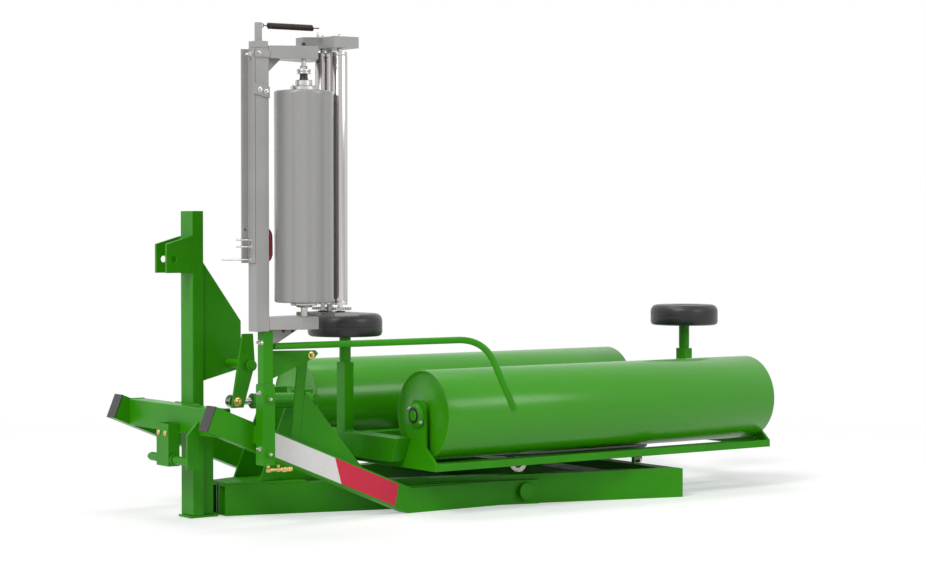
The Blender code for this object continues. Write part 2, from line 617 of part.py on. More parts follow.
def build_tilt_lever(seat):
    """Two lever plates on the nose plate, joined by the shaft that carries the barrel's eye."""
    tail = NOSE_PLATE_REACH + LEVER_TAIL
    ahead, behind, above = LEVER_HEAD
    outline = [(LEVER_FRONT_Y, seat), (tail, seat), (tail, seat + LEVER_TAIL_HEIGHT),
               (LEVER_PIN_Y + LEVER_WAIST[0], seat + LEVER_WAIST[1]),
               (LEVER_PIN_Y + behind, LEVER_PIN_Z + above), (LEVER_PIN_Y - ahead, LEVER_PIN_Z + above)]
    inner = LEVER_OFFSET - LEVER_THICKNESS
    pin = (0, LEVER_PIN_Y, LEVER_PIN_Z)
    lever = prism("tilt_lever", outline, "x", inner, LEVER_OFFSET, "green", tilt_axis)
    weld(lever, prism("lever_plate_far", outline, "x", -LEVER_OFFSET, -inner, "green", tilt_axis))
    add_round(lever, SHAFT_RADIUS, pin, (1, 0, 0), -inner - WELD, inner + WELD, tilt_axis)
    add_round(lever, LEVER_PIN_RADIUS - PIN_PLAY, pin, (1, 0, 0),
              LEVER_OFFSET - WELD, CYLINDER_X + EYE_WIDTH / 2 + RUNNING, tilt_axis)


def build_cylinder():
    """Tilt cylinder: the barrel turns on the lever's pin; the rod's end carries its pin, beside the strut."""
    line = Vector((0, MAST_PIN_Y - LEVER_PIN_Y, MAST_PIN_Z - LEVER_PIN_Z))
    length = line.length
    direction = line.normalized()
    pivot = (CYLINDER_X, LEVER_PIN_Y, LEVER_PIN_Z)
    bore = ROD_RADIUS + PIN_PLAY
    floor = EYE_RADIUS * BARREL_HEAD
    back = EYE_RADIUS / 2
    profile = [(0, back), (BARREL_RADIUS, back), (BARREL_RADIUS, BARREL_LENGTH), (bore, BARREL_LENGTH),
               (bore, floor), (0, floor)]
    barrel = lathe("cylinder_barrel", profile, pivot, direction, 24, "green", barrel_axis)
    eye = lathe("guide_barrel_eye", rod_profile(EYE_RADIUS, -EYE_WIDTH / 2, EYE_WIDTH / 2), pivot, (1, 0, 0),
                24, "dark", barrel_axis)
    boolean(barrel, eye, "UNION")
    cut_hole(barrel, LEVER_PIN_RADIUS, pivot, (1, 0, 0), EYE_WIDTH, barrel_axis)
    rod_start = floor + PIN_PLAY
    bar = rod_profile(ROD_RADIUS, rod_start, length)
    rod = lathe("cylinder_rod", bar, pivot, direction, 24, "chrome", rod_axis)
    far = (CYLINDER_X, MAST_PIN_Y, MAST_PIN_Z)
    rod_eye = lathe("guide_rod_eye", rod_profile(EYE_RADIUS, -EYE_WIDTH / 2, EYE_WIDTH / 2), far, (1, 0, 0),
                    24, "dark", rod_axis)
    boolean(rod, rod_eye, "UNION")
    add_round(rod, LEVER_PIN_RADIUS, far, (1, 0, 0), -EYE_WIDTH / 2 - PIN_TAIL,
              EYE_WIDTH / 2 + RUNNING - SEAT, rod_axis)


def build_support_wheels():
    """Four small wheels on brackets, below the turntable's disc, with their axles pointing to its centre."""
    hub = rod_profile(HUB_RADIUS, BEAM_HEIGHT + SEAT, DISC_BOTTOM - SEAT)
    lathe("turntable_hub", hub, (0, TABLE_Y, 0), (0, 0, 1), 28, "dark", tilt_axis)
    angles = {"front_near": -WHEEL_ANGLE, "rear_near": WHEEL_ANGLE, "rear_far": 180 - WHEEL_ANGLE,
              "front_far": 180 + WHEEL_ANGLE}
    for tag, degrees in angles.items():
        angle = math.radians(degrees)
        outward = Vector((math.cos(angle), math.sin(angle), 0))
        centre = Vector((0, TABLE_Y, WHEEL_Z)) + outward * WHEEL_RING_RADIUS
        axis = empty(f"wheel_axis_{tag}", centre, tilt_axis)
        bore = AXLE_RADIUS + PIN_PLAY / 2
        lathe(f"support_wheel_{tag}", ring_profile(bore, WHEEL_RADIUS, -WHEEL_WIDTH / 2, WHEEL_WIDTH / 2),
              centre, outward, 24, "steel", axis)
        row, side = tag.split("_")
        carrier = bpy.data.objects[f"floor_beam_{side}" if row == "front" else "rear_cross_member"]
        weld(carrier, wheel_bracket(tag, outward))
        add_round(carrier, AXLE_RADIUS, centre, outward, -WHEEL_WIDTH / 2 - BRACKET_GAP - WELD,
                  WHEEL_WIDTH / 2 + PIN_PLAY, tilt_axis)


def wheel_bracket(tag, outward):
    """Upright plate beside a support wheel, on a foot that reaches the frame below it."""
    side = Vector((-outward.y, outward.x, 0))
    near = WHEEL_RING_RADIUS - WHEEL_WIDTH / 2 - BRACKET_GAP
    far = near - BRACKET_THICKNESS
    half = BRACKET_WIDTH / 2
    plan = []
    for radius, offset in ((near, -half), (near, half), (far, half), (far, -half)):
        corner = Vector((0, TABLE_Y, 0)) + outward * radius + side * offset
        plan.append((corner.x, corner.y))
    top = WHEEL_Z + WHEEL_RADIUS / 2
    return prism(f"wheel_bracket_{tag}", plan, "z", BEAM_HEIGHT - WELD, top, "green", tilt_axis)


def build_turntable():
    """Disc, beams and end frames that carry the two rollers."""
    disc = rod_profile(DISC_RADIUS, DISC_BOTTOM, DISC_BOTTOM + DISC_THICKNESS)
    lathe("turntable_disc", disc, (0, TABLE_Y, 0), (0, 0, 1), 48, "dark", table_axis)
    front = TABLE_Y - END_PLATE_Y + SEAT
    back = TABLE_Y + END_PLATE_Y - SEAT
    beam_top = TABLE_Z + LONG_BEAM_HEIGHT
    for tag, sign in (("near", 1), ("far", -1)):
        rail = sorted(sign * (SIDE_RAIL_X + half) for half in (-SIDE_RAIL_WIDTH / 2, SIDE_RAIL_WIDTH / 2))
        square_tube(f"table_rail_{tag}", (rail[0], front, SIDE_RAIL_BOTTOM), (rail[1], back, SIDE_RAIL_TOP),
                    BEAM_WALL, "y", "green", table_axis)
        beam = sorted(sign * (LONG_BEAM_X + half) for half in (-LONG_BEAM_WIDTH / 2, LONG_BEAM_WIDTH / 2))
        square_tube(f"table_beam_{tag}", (beam[0], front, TABLE_Z), (beam[1], back, beam_top),
                    BEAM_WALL, "y", "green", table_axis)
    for tag, sign in (("front", -1), ("rear", 1)):
        build_end_frame(tag, sign, ROLLER_Z + EAR_RISES[tag])


def build_end_frame(tag, sign, ear_top):
    """End plate with two bearing ears, its cross member, the guide post and the guide wheel."""
    edge = SIDE_RAIL_X + SIDE_RAIL_WIDTH / 2
    ear_in = ROLLER_X - EAR_HALF
    ear_out = ROLLER_X + EAR_HALF
    shoulder = ear_top - EAR_CROWN
    right = [(edge, SIDE_RAIL_BOTTOM), (edge, SIDE_RAIL_TOP), (ear_out, TABLE_Z + EAR_SHOULDER),
             (ear_out, shoulder), (ROLLER_X + EAR_CROWN, ear_top), (ROLLER_X - EAR_CROWN, ear_top),
             (ear_in, shoulder), (ear_in - EAR_CROWN, END_MEMBER_TOP - EAR_INNER_DROP)]
    outline = right + [(-x, z) for x, z in reversed(right)]
    inner = TABLE_Y + sign * END_PLATE_Y
    faces = sorted((inner, inner + sign * END_PLATE_THICKNESS))
    plate = prism(f"end_plate_{tag}", outline, "y", faces[0], faces[1], "green", table_axis)
    for side in (1, -1):
        cut_hole(plate, ROLLER_SHAFT_RADIUS + PIN_PLAY, (side * ROLLER_X, inner, ROLLER_Z), (0, 1, 0),
                 3 * END_PLATE_THICKNESS, table_axis)
    outer = inner + sign * (END_PLATE_THICKNESS + SEAT)
    faces = sorted((outer, outer + sign * END_MEMBER_DEPTH))
    foot = END_MEMBER_HALF - END_MEMBER_SLOPE
    section = [(-foot, TABLE_Z), (foot, TABLE_Z),
               (END_MEMBER_HALF, END_MEMBER_TOP), (-END_MEMBER_HALF, END_MEMBER_TOP)]
    prism(f"end_member_{tag}", section, "y", faces[0], faces[1], "green", table_axis)
    centre_y = TABLE_Y + sign * GUIDE_REACH
    post = square_tube(f"guide_post_{tag}",
                       (-GUIDE_POST_WIDTH / 2, centre_y - GUIDE_POST_DEPTH / 2, END_MEMBER_TOP + SEAT),
                       (GUIDE_POST_WIDTH / 2, centre_y + GUIDE_POST_DEPTH / 2, GUIDE_POST_TOP),
                       BEAM_WALL, "z", "green", table_axis)
    cap = GUIDE_POST_DEPTH / 2 + WELD
    cap_top = GUIDE_POST_TOP + GUIDE_CAP_THICKNESS
    ledge = GUIDE_WHEEL_BOTTOM - SEAT
    tip = GUIDE_WHEEL_BOTTOM + GUIDE_WHEEL_HEIGHT / 2
    collar = GUIDE_COLLAR_RADIUS
    spindle = GUIDE_SPINDLE_RADIUS
    profile = [(0, GUIDE_POST_TOP - WELD), (cap, GUIDE_POST_TOP - WELD), (cap, cap_top), (collar, cap_top),
               (collar, ledge), (spindle, ledge), (spindle, tip), (0, tip)]
    weld(post, lathe(f"guide_spindle_{tag}", profile, (0, centre_y, 0), (0, 0, 1), 24, "green", table_axis))
    build_guide_wheel(tag, centre_y)


def build_guide_wheel(tag, centre_y):
    """Black domed wheel that turns on the guide post's spindle."""
    axis = empty(f"guide_wheel_axis_{tag}", (0, centre_y, GUIDE_WHEEL_BOTTOM), table_axis)
    low = GUIDE_WHEEL_BOTTOM
    high = low + GUIDE_WHEEL_HEIGHT
    bore = GUIDE_SPINDLE_RADIUS + PIN_PLAY
    ceiling = low + GUIDE_WHEEL_HEIGHT / 2 + PIN_PLAY
    rim = GUIDE_WHEEL_RADIUS
    dish = high - GUIDE_WHEEL_DISH
    profile = [(0, ceiling), (bore, ceiling), (bore, low), (rim * 0.88, low), (rim, low + GUIDE_WHEEL_EDGE),
               (rim, high - GUIDE_WHEEL_SHOULDER), (rim * 0.95, high - GUIDE_WHEEL_SHOULDER / 3),
               (rim * 0.84, high), (rim * 0.40, dish), (0, dish)]
    lathe(f"guide_wheel_{tag}", profile, (0, centre_y, 0), (0, 0, 1), 40, "rubber", axis)


def build_rollers():
    """Two large closed drums on stub shafts."""
    for tag, sign in (("near", 1), ("far", -1)):
        centre = (sign * ROLLER_X, TABLE_Y, ROLLER_Z)
        axis = empty(f"roller_axis_{tag}", centre, table_axis)
        half = ROLLER_LENGTH / 2
        stub = END_PLATE_Y + END_PLATE_THICKNESS + ROLLER_SHAFT_TAIL
        disc = half - ROLLER_RECESS
        inner = ROLLER_RADIUS - ROLLER_SHELL_LIP
        shaft = ROLLER_SHAFT_RADIUS
        profile = [(0, -stub), (shaft, -stub), (shaft, -disc), (inner, -disc), (inner, -half),
                   (ROLLER_RADIUS, -half), (ROLLER_RADIUS, half), (inner, half), (inner, disc), (shaft, disc),
                   (shaft, stub), (0, stub)]
        lathe(f"main_roller_{tag}", profile, centre, (0, 1, 0), 48, "green", axis)


def build_dispenser_post():
    """Telescoping post on the near side tube, with the guard rail."""
    half = SLEEVE_SIDE / 2
    square_tube("post_sleeve", (POST_X - half, POST_Y - half, SLEEVE_BOTTOM),
                (POST_X + half, POST_Y + half, SLEEVE_TOP), SLEEVE_WALL, "z", "green")
    inner = half - SLEEVE_WALL - SEAT
    box("post_inner", (POST_X - inner, POST_Y - inner, SLEEVE_BOTTOM + POST_OVERLAP),
        (POST_X + inner, POST_Y + inner, INNER_POST_TOP), "green")
    tube_low = (ARM_BEND_Y - POST_Y) * math.tan(ARM_SLOPE)
    box("post_bracket", (ARM_OUTER_X + SEAT, POST_Y - half, tube_low + POST_BRACKET_LOW),
        (POST_X - half - SEAT, POST_Y + half, tube_low + ARM_HEIGHT), "green")
    build_guard_rail(Vector((POST_X, POST_Y + inner + SEAT, RAIL_START_Z)))


def build_guard_rail(start):
    """Round rail from the post, bent down beside the near roller."""
    corner = Vector((POST_X, 0, 0)) + Vector(RAIL_CORNER)
    tip = Vector((POST_X, 0, 0)) + Vector(RAIL_TIP)
    back = (start - corner).normalized() * RAIL_BEND
    down = (tip - corner).normalized() * RAIL_BEND
    points = [start, start + Vector((0, 2 * RAIL_RADIUS, 0))]
    for k in range(RAIL_STEPS + 1):
        t = k / RAIL_STEPS
        points.append((corner + back) * (1 - t) ** 2 + corner * 2 * t * (1 - t) + (corner + down) * t ** 2)
    points.append(tip)
    curve = bpy.data.curves.new("guard_rail", "CURVE")
    curve.dimensions = "3D"
    curve.bevel_depth = RAIL_RADIUS
    curve.bevel_resolution = 3
    curve.use_fill_caps = True
    spline = curve.splines.new("POLY")
    spline.points.add(len(points) - 1)
    for target, point in zip(spline.points, points):
        target.co = (*point, 1)
    rail = bpy.data.objects.new("guard_rail", curve)
    bpy.context.collection.objects.link(rail)
    curve.materials.append(FINISH["green"])


def build_dispenser_frame():
    """Column with its bottom and top arm, spring and handle."""
    low_x = POST_X - COLUMN_WIDTH / 2
    high_x = POST_X + COLUMN_WIDTH / 2
    base = INNER_POST_TOP + SEAT
    column = square_tube("dispenser_column", (low_x, COLUMN_FRONT, base), (high_x, COLUMN_REAR, COLUMN_TOP),
                         COLUMN_WALL, "z", "grey")
    rear = COLUMN_REAR + SEAT
    side, ahead, behind = ARM_MARGIN
    plan = [(low_x, rear), (high_x, rear), (FILM_X + side, FILM_Y - ahead), (FILM_X + side, FILM_Y + behind)]
    first, last = ARM_END_ANGLES
    for k in range(ARM_END_STEPS + 1):
        angle = math.radians(first + (last - first) * k / ARM_END_STEPS)
        corner = Vector((math.cos(angle), math.sin(angle))) * ARM_END_RADIUS
        plan.append((CARRIAGE_X + corner.x, CARRIAGE_Y + corner.y))
    prism("bottom_arm", plan, "z", BOTTOM_ARM_Z, BOTTOM_ARM_Z + ARM_PLATE_HEIGHT, "grey")
    prism("top_arm", plan, "z", TOP_ARM_Z, TOP_ARM_Z + ARM_PLATE_HEIGHT, "grey")
    half = ANCHOR_HALF
    spring_y = (COLUMN_FRONT + COLUMN_REAR) / 2
    cap_top = COLUMN_TOP + half / 2
    cap = box("column_cap", (low_x, COLUMN_FRONT, COLUMN_TOP - WELD), (high_x, COLUMN_REAR, cap_top), "grey")
    anchor = box("spring_anchor", (POST_X - half, spring_y - half, COLUMN_TOP),
                 (POST_X + half, spring_y + half, SPRING_Z + half), "grey")
    weld(column, cap)
    weld(column, anchor)
    start = Vector((POST_X, spring_y + half + PIN_PLAY, SPRING_Z))
    end = Vector((CARRIAGE_X + SPRING_END[0], CARRIAGE_Y - SPRING_END[1], SPRING_Z))
    length = (end - start).length
    hook = SPRING_HOOK_RADIUS
    body = (SPRING_HOOK_LENGTH, length - SPRING_HOOK_LENGTH)
    profile = [(0, 0), (hook, 0), (hook, body[0]), (SPRING_RADIUS, body[0]), (SPRING_RADIUS, body[1]),
               (hook, body[1]), (hook, length), (0, length)]
    lathe("carriage_spring", profile, start, (end - start).normalized(), 20, "dark")
    tip = rear + HANDLE_REACH
    slant = (HANDLE_HIGH - HANDLE_LOW) / 4
    handle = [(rear, HANDLE_LOW), (rear + HANDLE_REACH / 2, HANDLE_LOW), (tip, HANDLE_LOW + slant),
              (tip, HANDLE_HIGH - slant), (rear + HANDLE_REACH / 3, HANDLE_HIGH), (rear, HANDLE_HIGH)]
    prism("film_handle", handle, "x", POST_X - HANDLE_HALF, POST_X + HANDLE_HALF, "red")


def build_film_roll():
    """Roll of film on its core, between the cones of the two arms."""
    top = FILM_BOTTOM + FILM_WIDTH
    place = (FILM_X, FILM_Y, 0)
    roll = ring_profile(FILM_CORE_RADIUS, FILM_RADIUS, FILM_BOTTOM, top)
    lathe("film_roll", roll, place, (0, 0, 1), 40, "film", film_axis)
    inner = FILM_CORE_RADIUS - SEAT
    tip = inner * CONE_TAPER
    flange = CONE_FLANGE_RADIUS
    floor = BOTTOM_ARM_Z + ARM_PLATE_HEIGHT + SEAT
    shaft, neck = 0.012, 0.016
    low = [(0, floor), (shaft, floor), (shaft, FILM_BOTTOM - neck), (flange, FILM_BOTTOM - neck / 2),
           (flange, FILM_BOTTOM - SEAT), (inner, FILM_BOTTOM - SEAT), (tip, FILM_BOTTOM + CONE_REACH),
           (0, FILM_BOTTOM + CONE_REACH)]
    lathe("film_cone_bottom", low, place, (0, 0, 1), 28, "steel", film_axis)
    ceiling = TOP_ARM_Z - SEAT
    # radius and height above the roll of the top cone's collars, from the arm down
    collars = ((0.010, 0.080), (0.026, 0.074), (0.026, 0.062), (0.014, 0.056), (0.014, 0.040), (0.030, 0.036),
               (0.030, 0.020), (flange, 0.014))
    high = [(0, ceiling), (collars[0][0], ceiling)]
    high += [(radius, top + rise) for radius, rise in collars]
    high += [(flange, top + SEAT), (inner, top + SEAT), (tip, top - CONE_REACH), (0, top - CONE_REACH)]
    lathe("film_cone_top", high, place, (0, 0, 1), 28, "steel", film_axis)


def build_carriage():
    """Stretch rollers between two plates that swing about the carriage pin."""
    floor = BOTTOM_ARM_Z + ARM_PLATE_HEIGHT + SEAT
    roof = TOP_ARM_Z + ARM_PLATE_HEIGHT + SEAT
    tab = PIVOT_TAB
    tab_y = CARRIAGE_Y - tab
    plan = [(PLATE_X[0], PLATE_Y[0]), (CARRIAGE_X - tab, tab_y), (CARRIAGE_X + tab, tab_y),
            (CARRIAGE_X + 2 * tab, PLATE_Y[0]), (PLATE_X[1], PLATE_Y[0]), (PLATE_X[1], PLATE_Y[1]),
            (PLATE_X[0], PLATE_Y[1])]
    frame = prism("carriage_frame", plan, "z", floor, floor + BOTTOM_PLATE_THICKNESS, "grey", carriage_axis)
    lid = prism("carriage_plate_top", plan, "z", roof, roof + TOP_PLATE_THICKNESS, "grey", carriage_axis)
    weld(frame, lid)
    low = floor + BOTTOM_PLATE_THICKNESS + SEAT
    high = roof - SEAT
    side = CARRIAGE_POST_SIDE
    post_x = PLATE_X[0] + POST_INSET
    post_y = PLATE_Y[1] - POST_INSET - side
    post = box("carriage_post", (post_x, post_y, low - 2 * WELD), (post_x + side, post_y + side, roof + WELD),
               "grey", carriage_axis)
    weld(frame, post)
    shaft = STRETCH_SHAFT_RADIUS
    gear = STRETCH_GEAR_RADIUS
    radius = STRETCH_ROLLER_RADIUS
    gear_low, gear_high = low + STRETCH_GEAR_Z[0], low + STRETCH_GEAR_Z[1]
    shell = (low + STRETCH_ENDS[0], high - STRETCH_ENDS[1])
    for tag, (x, y) in (("front", STRETCH_FRONT), ("rear", STRETCH_REAR)):
        axis = empty(f"stretch_axis_{tag}", (x, y, low), carriage_axis)
        profile = [(0, low), (shaft, low), (shaft, gear_low), (gear, gear_low), (gear, gear_high),
                   (shaft, gear_high), (shaft, shell[0]), (radius, shell[0]), (radius, shell[1]),
                   (shaft, shell[1]), (shaft, high), (0, high)]
        lathe(f"stretch_roller_{tag}", profile, (x, y, 0), (0, 0, 1), 32, "chrome", axis)


build_mast()
build_crossbar()
for tube_tag, tube_sign in (("near", 1), ("far", -1)):
    build_side_tube(tube_tag, tube_sign)
build_cylinder_seat()
build_floor_frame()
build_cylinder()
build_support_wheels()
build_turntable()
build_rollers()
build_dispenser_post()
build_dispenser_frame()
build_film_roll()
build_carriage()
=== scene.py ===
"""Looks of the bale wrapper: finishes, rounded edges, welds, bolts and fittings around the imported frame.

Metres, in the frame of the CAD model: +Y to the rear, +X to the film dispenser's side, +Z up.
"""
import json
import math
import random

import bmesh
import bpy
from mathutils import Matrix, Vector

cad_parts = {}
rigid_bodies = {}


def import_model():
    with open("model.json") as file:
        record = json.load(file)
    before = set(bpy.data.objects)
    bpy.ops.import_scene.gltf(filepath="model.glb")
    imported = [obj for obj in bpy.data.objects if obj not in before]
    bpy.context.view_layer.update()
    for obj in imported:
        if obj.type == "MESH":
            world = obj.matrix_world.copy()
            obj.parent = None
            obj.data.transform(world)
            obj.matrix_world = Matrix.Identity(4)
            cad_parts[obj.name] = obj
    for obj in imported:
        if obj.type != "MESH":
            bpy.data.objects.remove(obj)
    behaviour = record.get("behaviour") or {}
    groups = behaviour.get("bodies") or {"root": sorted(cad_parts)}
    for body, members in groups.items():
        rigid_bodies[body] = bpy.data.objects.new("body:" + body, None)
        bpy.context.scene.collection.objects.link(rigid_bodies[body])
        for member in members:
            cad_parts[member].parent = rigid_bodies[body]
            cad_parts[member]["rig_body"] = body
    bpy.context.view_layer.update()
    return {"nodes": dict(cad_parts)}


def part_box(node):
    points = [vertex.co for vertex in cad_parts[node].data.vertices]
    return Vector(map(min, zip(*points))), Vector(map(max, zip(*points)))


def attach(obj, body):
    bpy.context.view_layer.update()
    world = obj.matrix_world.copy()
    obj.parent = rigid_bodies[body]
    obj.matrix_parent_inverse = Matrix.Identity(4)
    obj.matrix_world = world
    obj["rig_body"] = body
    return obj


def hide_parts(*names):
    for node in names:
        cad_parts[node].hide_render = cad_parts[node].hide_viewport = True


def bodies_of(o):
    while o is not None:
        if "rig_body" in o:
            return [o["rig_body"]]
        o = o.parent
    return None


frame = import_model()
X, Y, Z = Vector((1, 0, 0)), Vector((0, 1, 0)), Vector((0, 0, 1))

# ---------------------------------------------------------------- camera, light and floor
CAMERA_PLACE = (7.30695, -4.04531, 1.05753)
CAMERA_PITCH = 1.46056
CAMERA_HEADING = 54.09305
CAMERA_LENS = 88.33
FLOOR_RADIUS = 60.0
FLOOR_FADE = (2.2, 4.2)
WORLD_LIGHT = 0.36
KEY_LIGHT = 1.15
FLOOR_LIFT = 0.40


def build_camera():
    """Camera at the photograph's angle, level with the film roll."""
    data = bpy.data.cameras.new("camera")
    data.lens = CAMERA_LENS
    data.sensor_width = 36.0
    data.clip_end = 200.0
    camera = bpy.data.objects.new("camera", data)
    camera.location = CAMERA_PLACE
    camera.rotation_euler = (math.radians(90 - CAMERA_PITCH), 0, math.radians(CAMERA_HEADING))
    bpy.context.scene.collection.objects.link(camera)
    bpy.context.scene.camera = camera
    bpy.context.scene.view_settings.view_transform = "Standard"


def seen_rays(tree):
    """1 for camera, glossy and transmission rays, which should meet a white surround."""
    path = tree.nodes.new("ShaderNodeLightPath")
    total = path.outputs["Is Camera Ray"]
    for name in ("Is Glossy Ray", "Is Transmission Ray"):
        add = tree.nodes.new("ShaderNodeMath")
        add.operation = "MAXIMUM"
        tree.links.new(total, add.inputs[0])
        tree.links.new(path.outputs[name], add.inputs[1])
        total = add.outputs[0]
    return total


def build_world():
    """Soft even surround, white where it is seen."""
    world = bpy.data.worlds.new("world")
    bpy.context.scene.world = world
    world.use_nodes = True
    tree = world.node_tree
    shown = tree.nodes["Background"]
    shown.inputs["Color"].default_value = (1, 1, 1, 1)
    shown.inputs["Strength"].default_value = 1.0
    light = tree.nodes.new("ShaderNodeBackground")
    light.inputs["Color"].default_value = (1, 1, 1, 1)
    light.inputs["Strength"].default_value = WORLD_LIGHT
    mix = tree.nodes.new("ShaderNodeMixShader")
    tree.links.new(seen_rays(tree), mix.inputs[0])
    tree.links.new(light.outputs[0], mix.inputs[1])
    tree.links.new(shown.outputs[0], mix.inputs[2])
    tree.links.new(mix.outputs[0], tree.nodes["World Output"].inputs["Surface"])


def build_lamps():
    """A soft key from above the camera's left, and two soft boxes for the gloss."""
    key = bpy.data.lights.new("key", "SUN")
    key.energy = KEY_LIGHT
    key.angle = math.radians(18)
    lamp = bpy.data.objects.new("key", key)
    lamp.rotation_euler = (math.radians(46), 0, math.radians(24))
    bpy.context.scene.collection.objects.link(lamp)
    # name, place, aim, size, watts
    boxes = (("side_box", (6.0, 3.2, 3.4), (0.3, 1.2, 0.5), 3.0, 85.0),
             ("front_box", (2.6, -6.5, 3.6), (0.2, 0.4, 0.8), 2.4, 60.0),
             ("top_box", (-1.0, 1.0, 5.5), (0.0, 1.2, 0.4), 3.2, 70.0))
    for name, place, aim, size, watts in boxes:
        data = bpy.data.lights.new(name, "AREA")
        data.shape = "RECTANGLE"
        data.size = size
        data.size_y = size * 0.6
        data.energy = watts
        lamp = bpy.data.objects.new(name, data)
        lamp.location = place
        lamp.rotation_euler = (Vector(aim) - Vector(place)).to_track_quat("-Z", "Y").to_euler()
        bpy.context.scene.collection.objects.link(lamp)


def build_floor():
    """Pale floor that keeps the shadow and meets the white surround without a line."""
    work = bmesh.new()
    bmesh.ops.create_circle(work, cap_ends=True, radius=FLOOR_RADIUS, segments=96)
    mesh = bpy.data.meshes.new("floor")
    work.to_mesh(mesh)
    work.free()
    floor = bpy.data.objects.new("floor", mesh)
    bpy.context.scene.collection.objects.link(floor)
    floor.location = (0, 1.2, -0.0005)
    material = bpy.data.materials.new("floor")
    material.use_nodes = True
    tree = material.node_tree
    shader = tree.nodes["Principled BSDF"]
    shader.inputs["Base Color"].default_value = (0.72, 0.72, 0.72, 1)
    shader.inputs["Roughness"].default_value = 0.9
    shader.inputs["Specular IOR Level"].default_value = 0.1
    lift = tree.nodes.new("ShaderNodeEmission")
    lift.inputs["Color"].default_value = (1, 1, 1, 1)
    scale = tree.nodes.new("ShaderNodeMath")
    scale.operation = "MULTIPLY"
    scale.inputs[1].default_value = FLOOR_LIFT
    tree.links.new(seen_rays(tree), scale.inputs[0])
    tree.links.new(scale.outputs[0], lift.inputs["Strength"])
    place = tree.nodes.new("ShaderNodeTexCoord")
    reach = tree.nodes.new("ShaderNodeVectorMath")
    reach.operation = "LENGTH"
    tree.links.new(place.outputs["Object"], reach.inputs[0])
    fade = spread(tree, reach.outputs["Value"], 0, 1, FLOOR_FADE[0], FLOOR_FADE[1])
    shown = tree.nodes.new("ShaderNodeMath")
    shown.operation = "MULTIPLY"
    tree.links.new(seen_rays(tree), shown.inputs[0])
    tree.links.new(fade, shown.inputs[1])
    white = tree.nodes.new("ShaderNodeEmission")
    white.inputs["Color"].default_value = (1, 1, 1, 1)
    add = tree.nodes.new("ShaderNodeAddShader")
    tree.links.new(shader.outputs[0], add.inputs[0])
    tree.links.new(lift.outputs[0], add.inputs[1])
    mix = tree.nodes.new("ShaderNodeMixShader")
    tree.links.new(shown.outputs[0], mix.inputs[0])
    tree.links.new(add.outputs[0], mix.inputs[1])
    tree.links.new(white.outputs[0], mix.inputs[2])
    tree.links.new(mix.outputs[0], tree.nodes["Material Output"].inputs["Surface"])
    mesh.materials.append(material)


# ---------------------------------------------------------------- materials
def noise(tree, scale, detail=2.0, stretch=(1, 1, 1)):
    """Noise in the piece's own metres; stretch above 1 packs it tighter along that axis."""
    place = tree.nodes.new("ShaderNodeTexCoord")
    mapping = tree.nodes.new("ShaderNodeMapping")
    mapping.inputs["Scale"].default_value = stretch
    tree.links.new(place.outputs["Object"], mapping.inputs["Vector"])
    texture = tree.nodes.new("ShaderNodeTexNoise")
    texture.inputs["Scale"].default_value = scale
    texture.inputs["Detail"].default_value = detail
    tree.links.new(mapping.outputs[0], texture.inputs["Vector"])
    return texture.outputs["Fac"]


def spread(tree, source, low, high, start=0.3, end=0.7):
    """source between start and end becomes a value between low and high."""
    node = tree.nodes.new("ShaderNodeMapRange")
    for name, value in (("From Min", start), ("From Max", end), ("To Min", low), ("To Max", high)):
        node.inputs[name].default_value = value
    tree.links.new(source, node.inputs["Value"])
    return node.outputs[0]


def blend_colour(tree, factor, first, second):
    """Colour from first to second; each is a colour or a socket."""
    node = tree.nodes.new("ShaderNodeMix")
    node.data_type = "RGBA"
    tree.links.new(factor, node.inputs[0])
    for socket, value in ((node.inputs[6], first), (node.inputs[7], second)):
        if isinstance(value, bpy.types.NodeSocket):
            tree.links.new(value, socket)
        else:
            socket.default_value = (*value, 1)
    return node.outputs[2]


def times(colour, factor):
    """A colour made lighter or darker."""
    return tuple(min(1.0, c * factor) for c in colour)


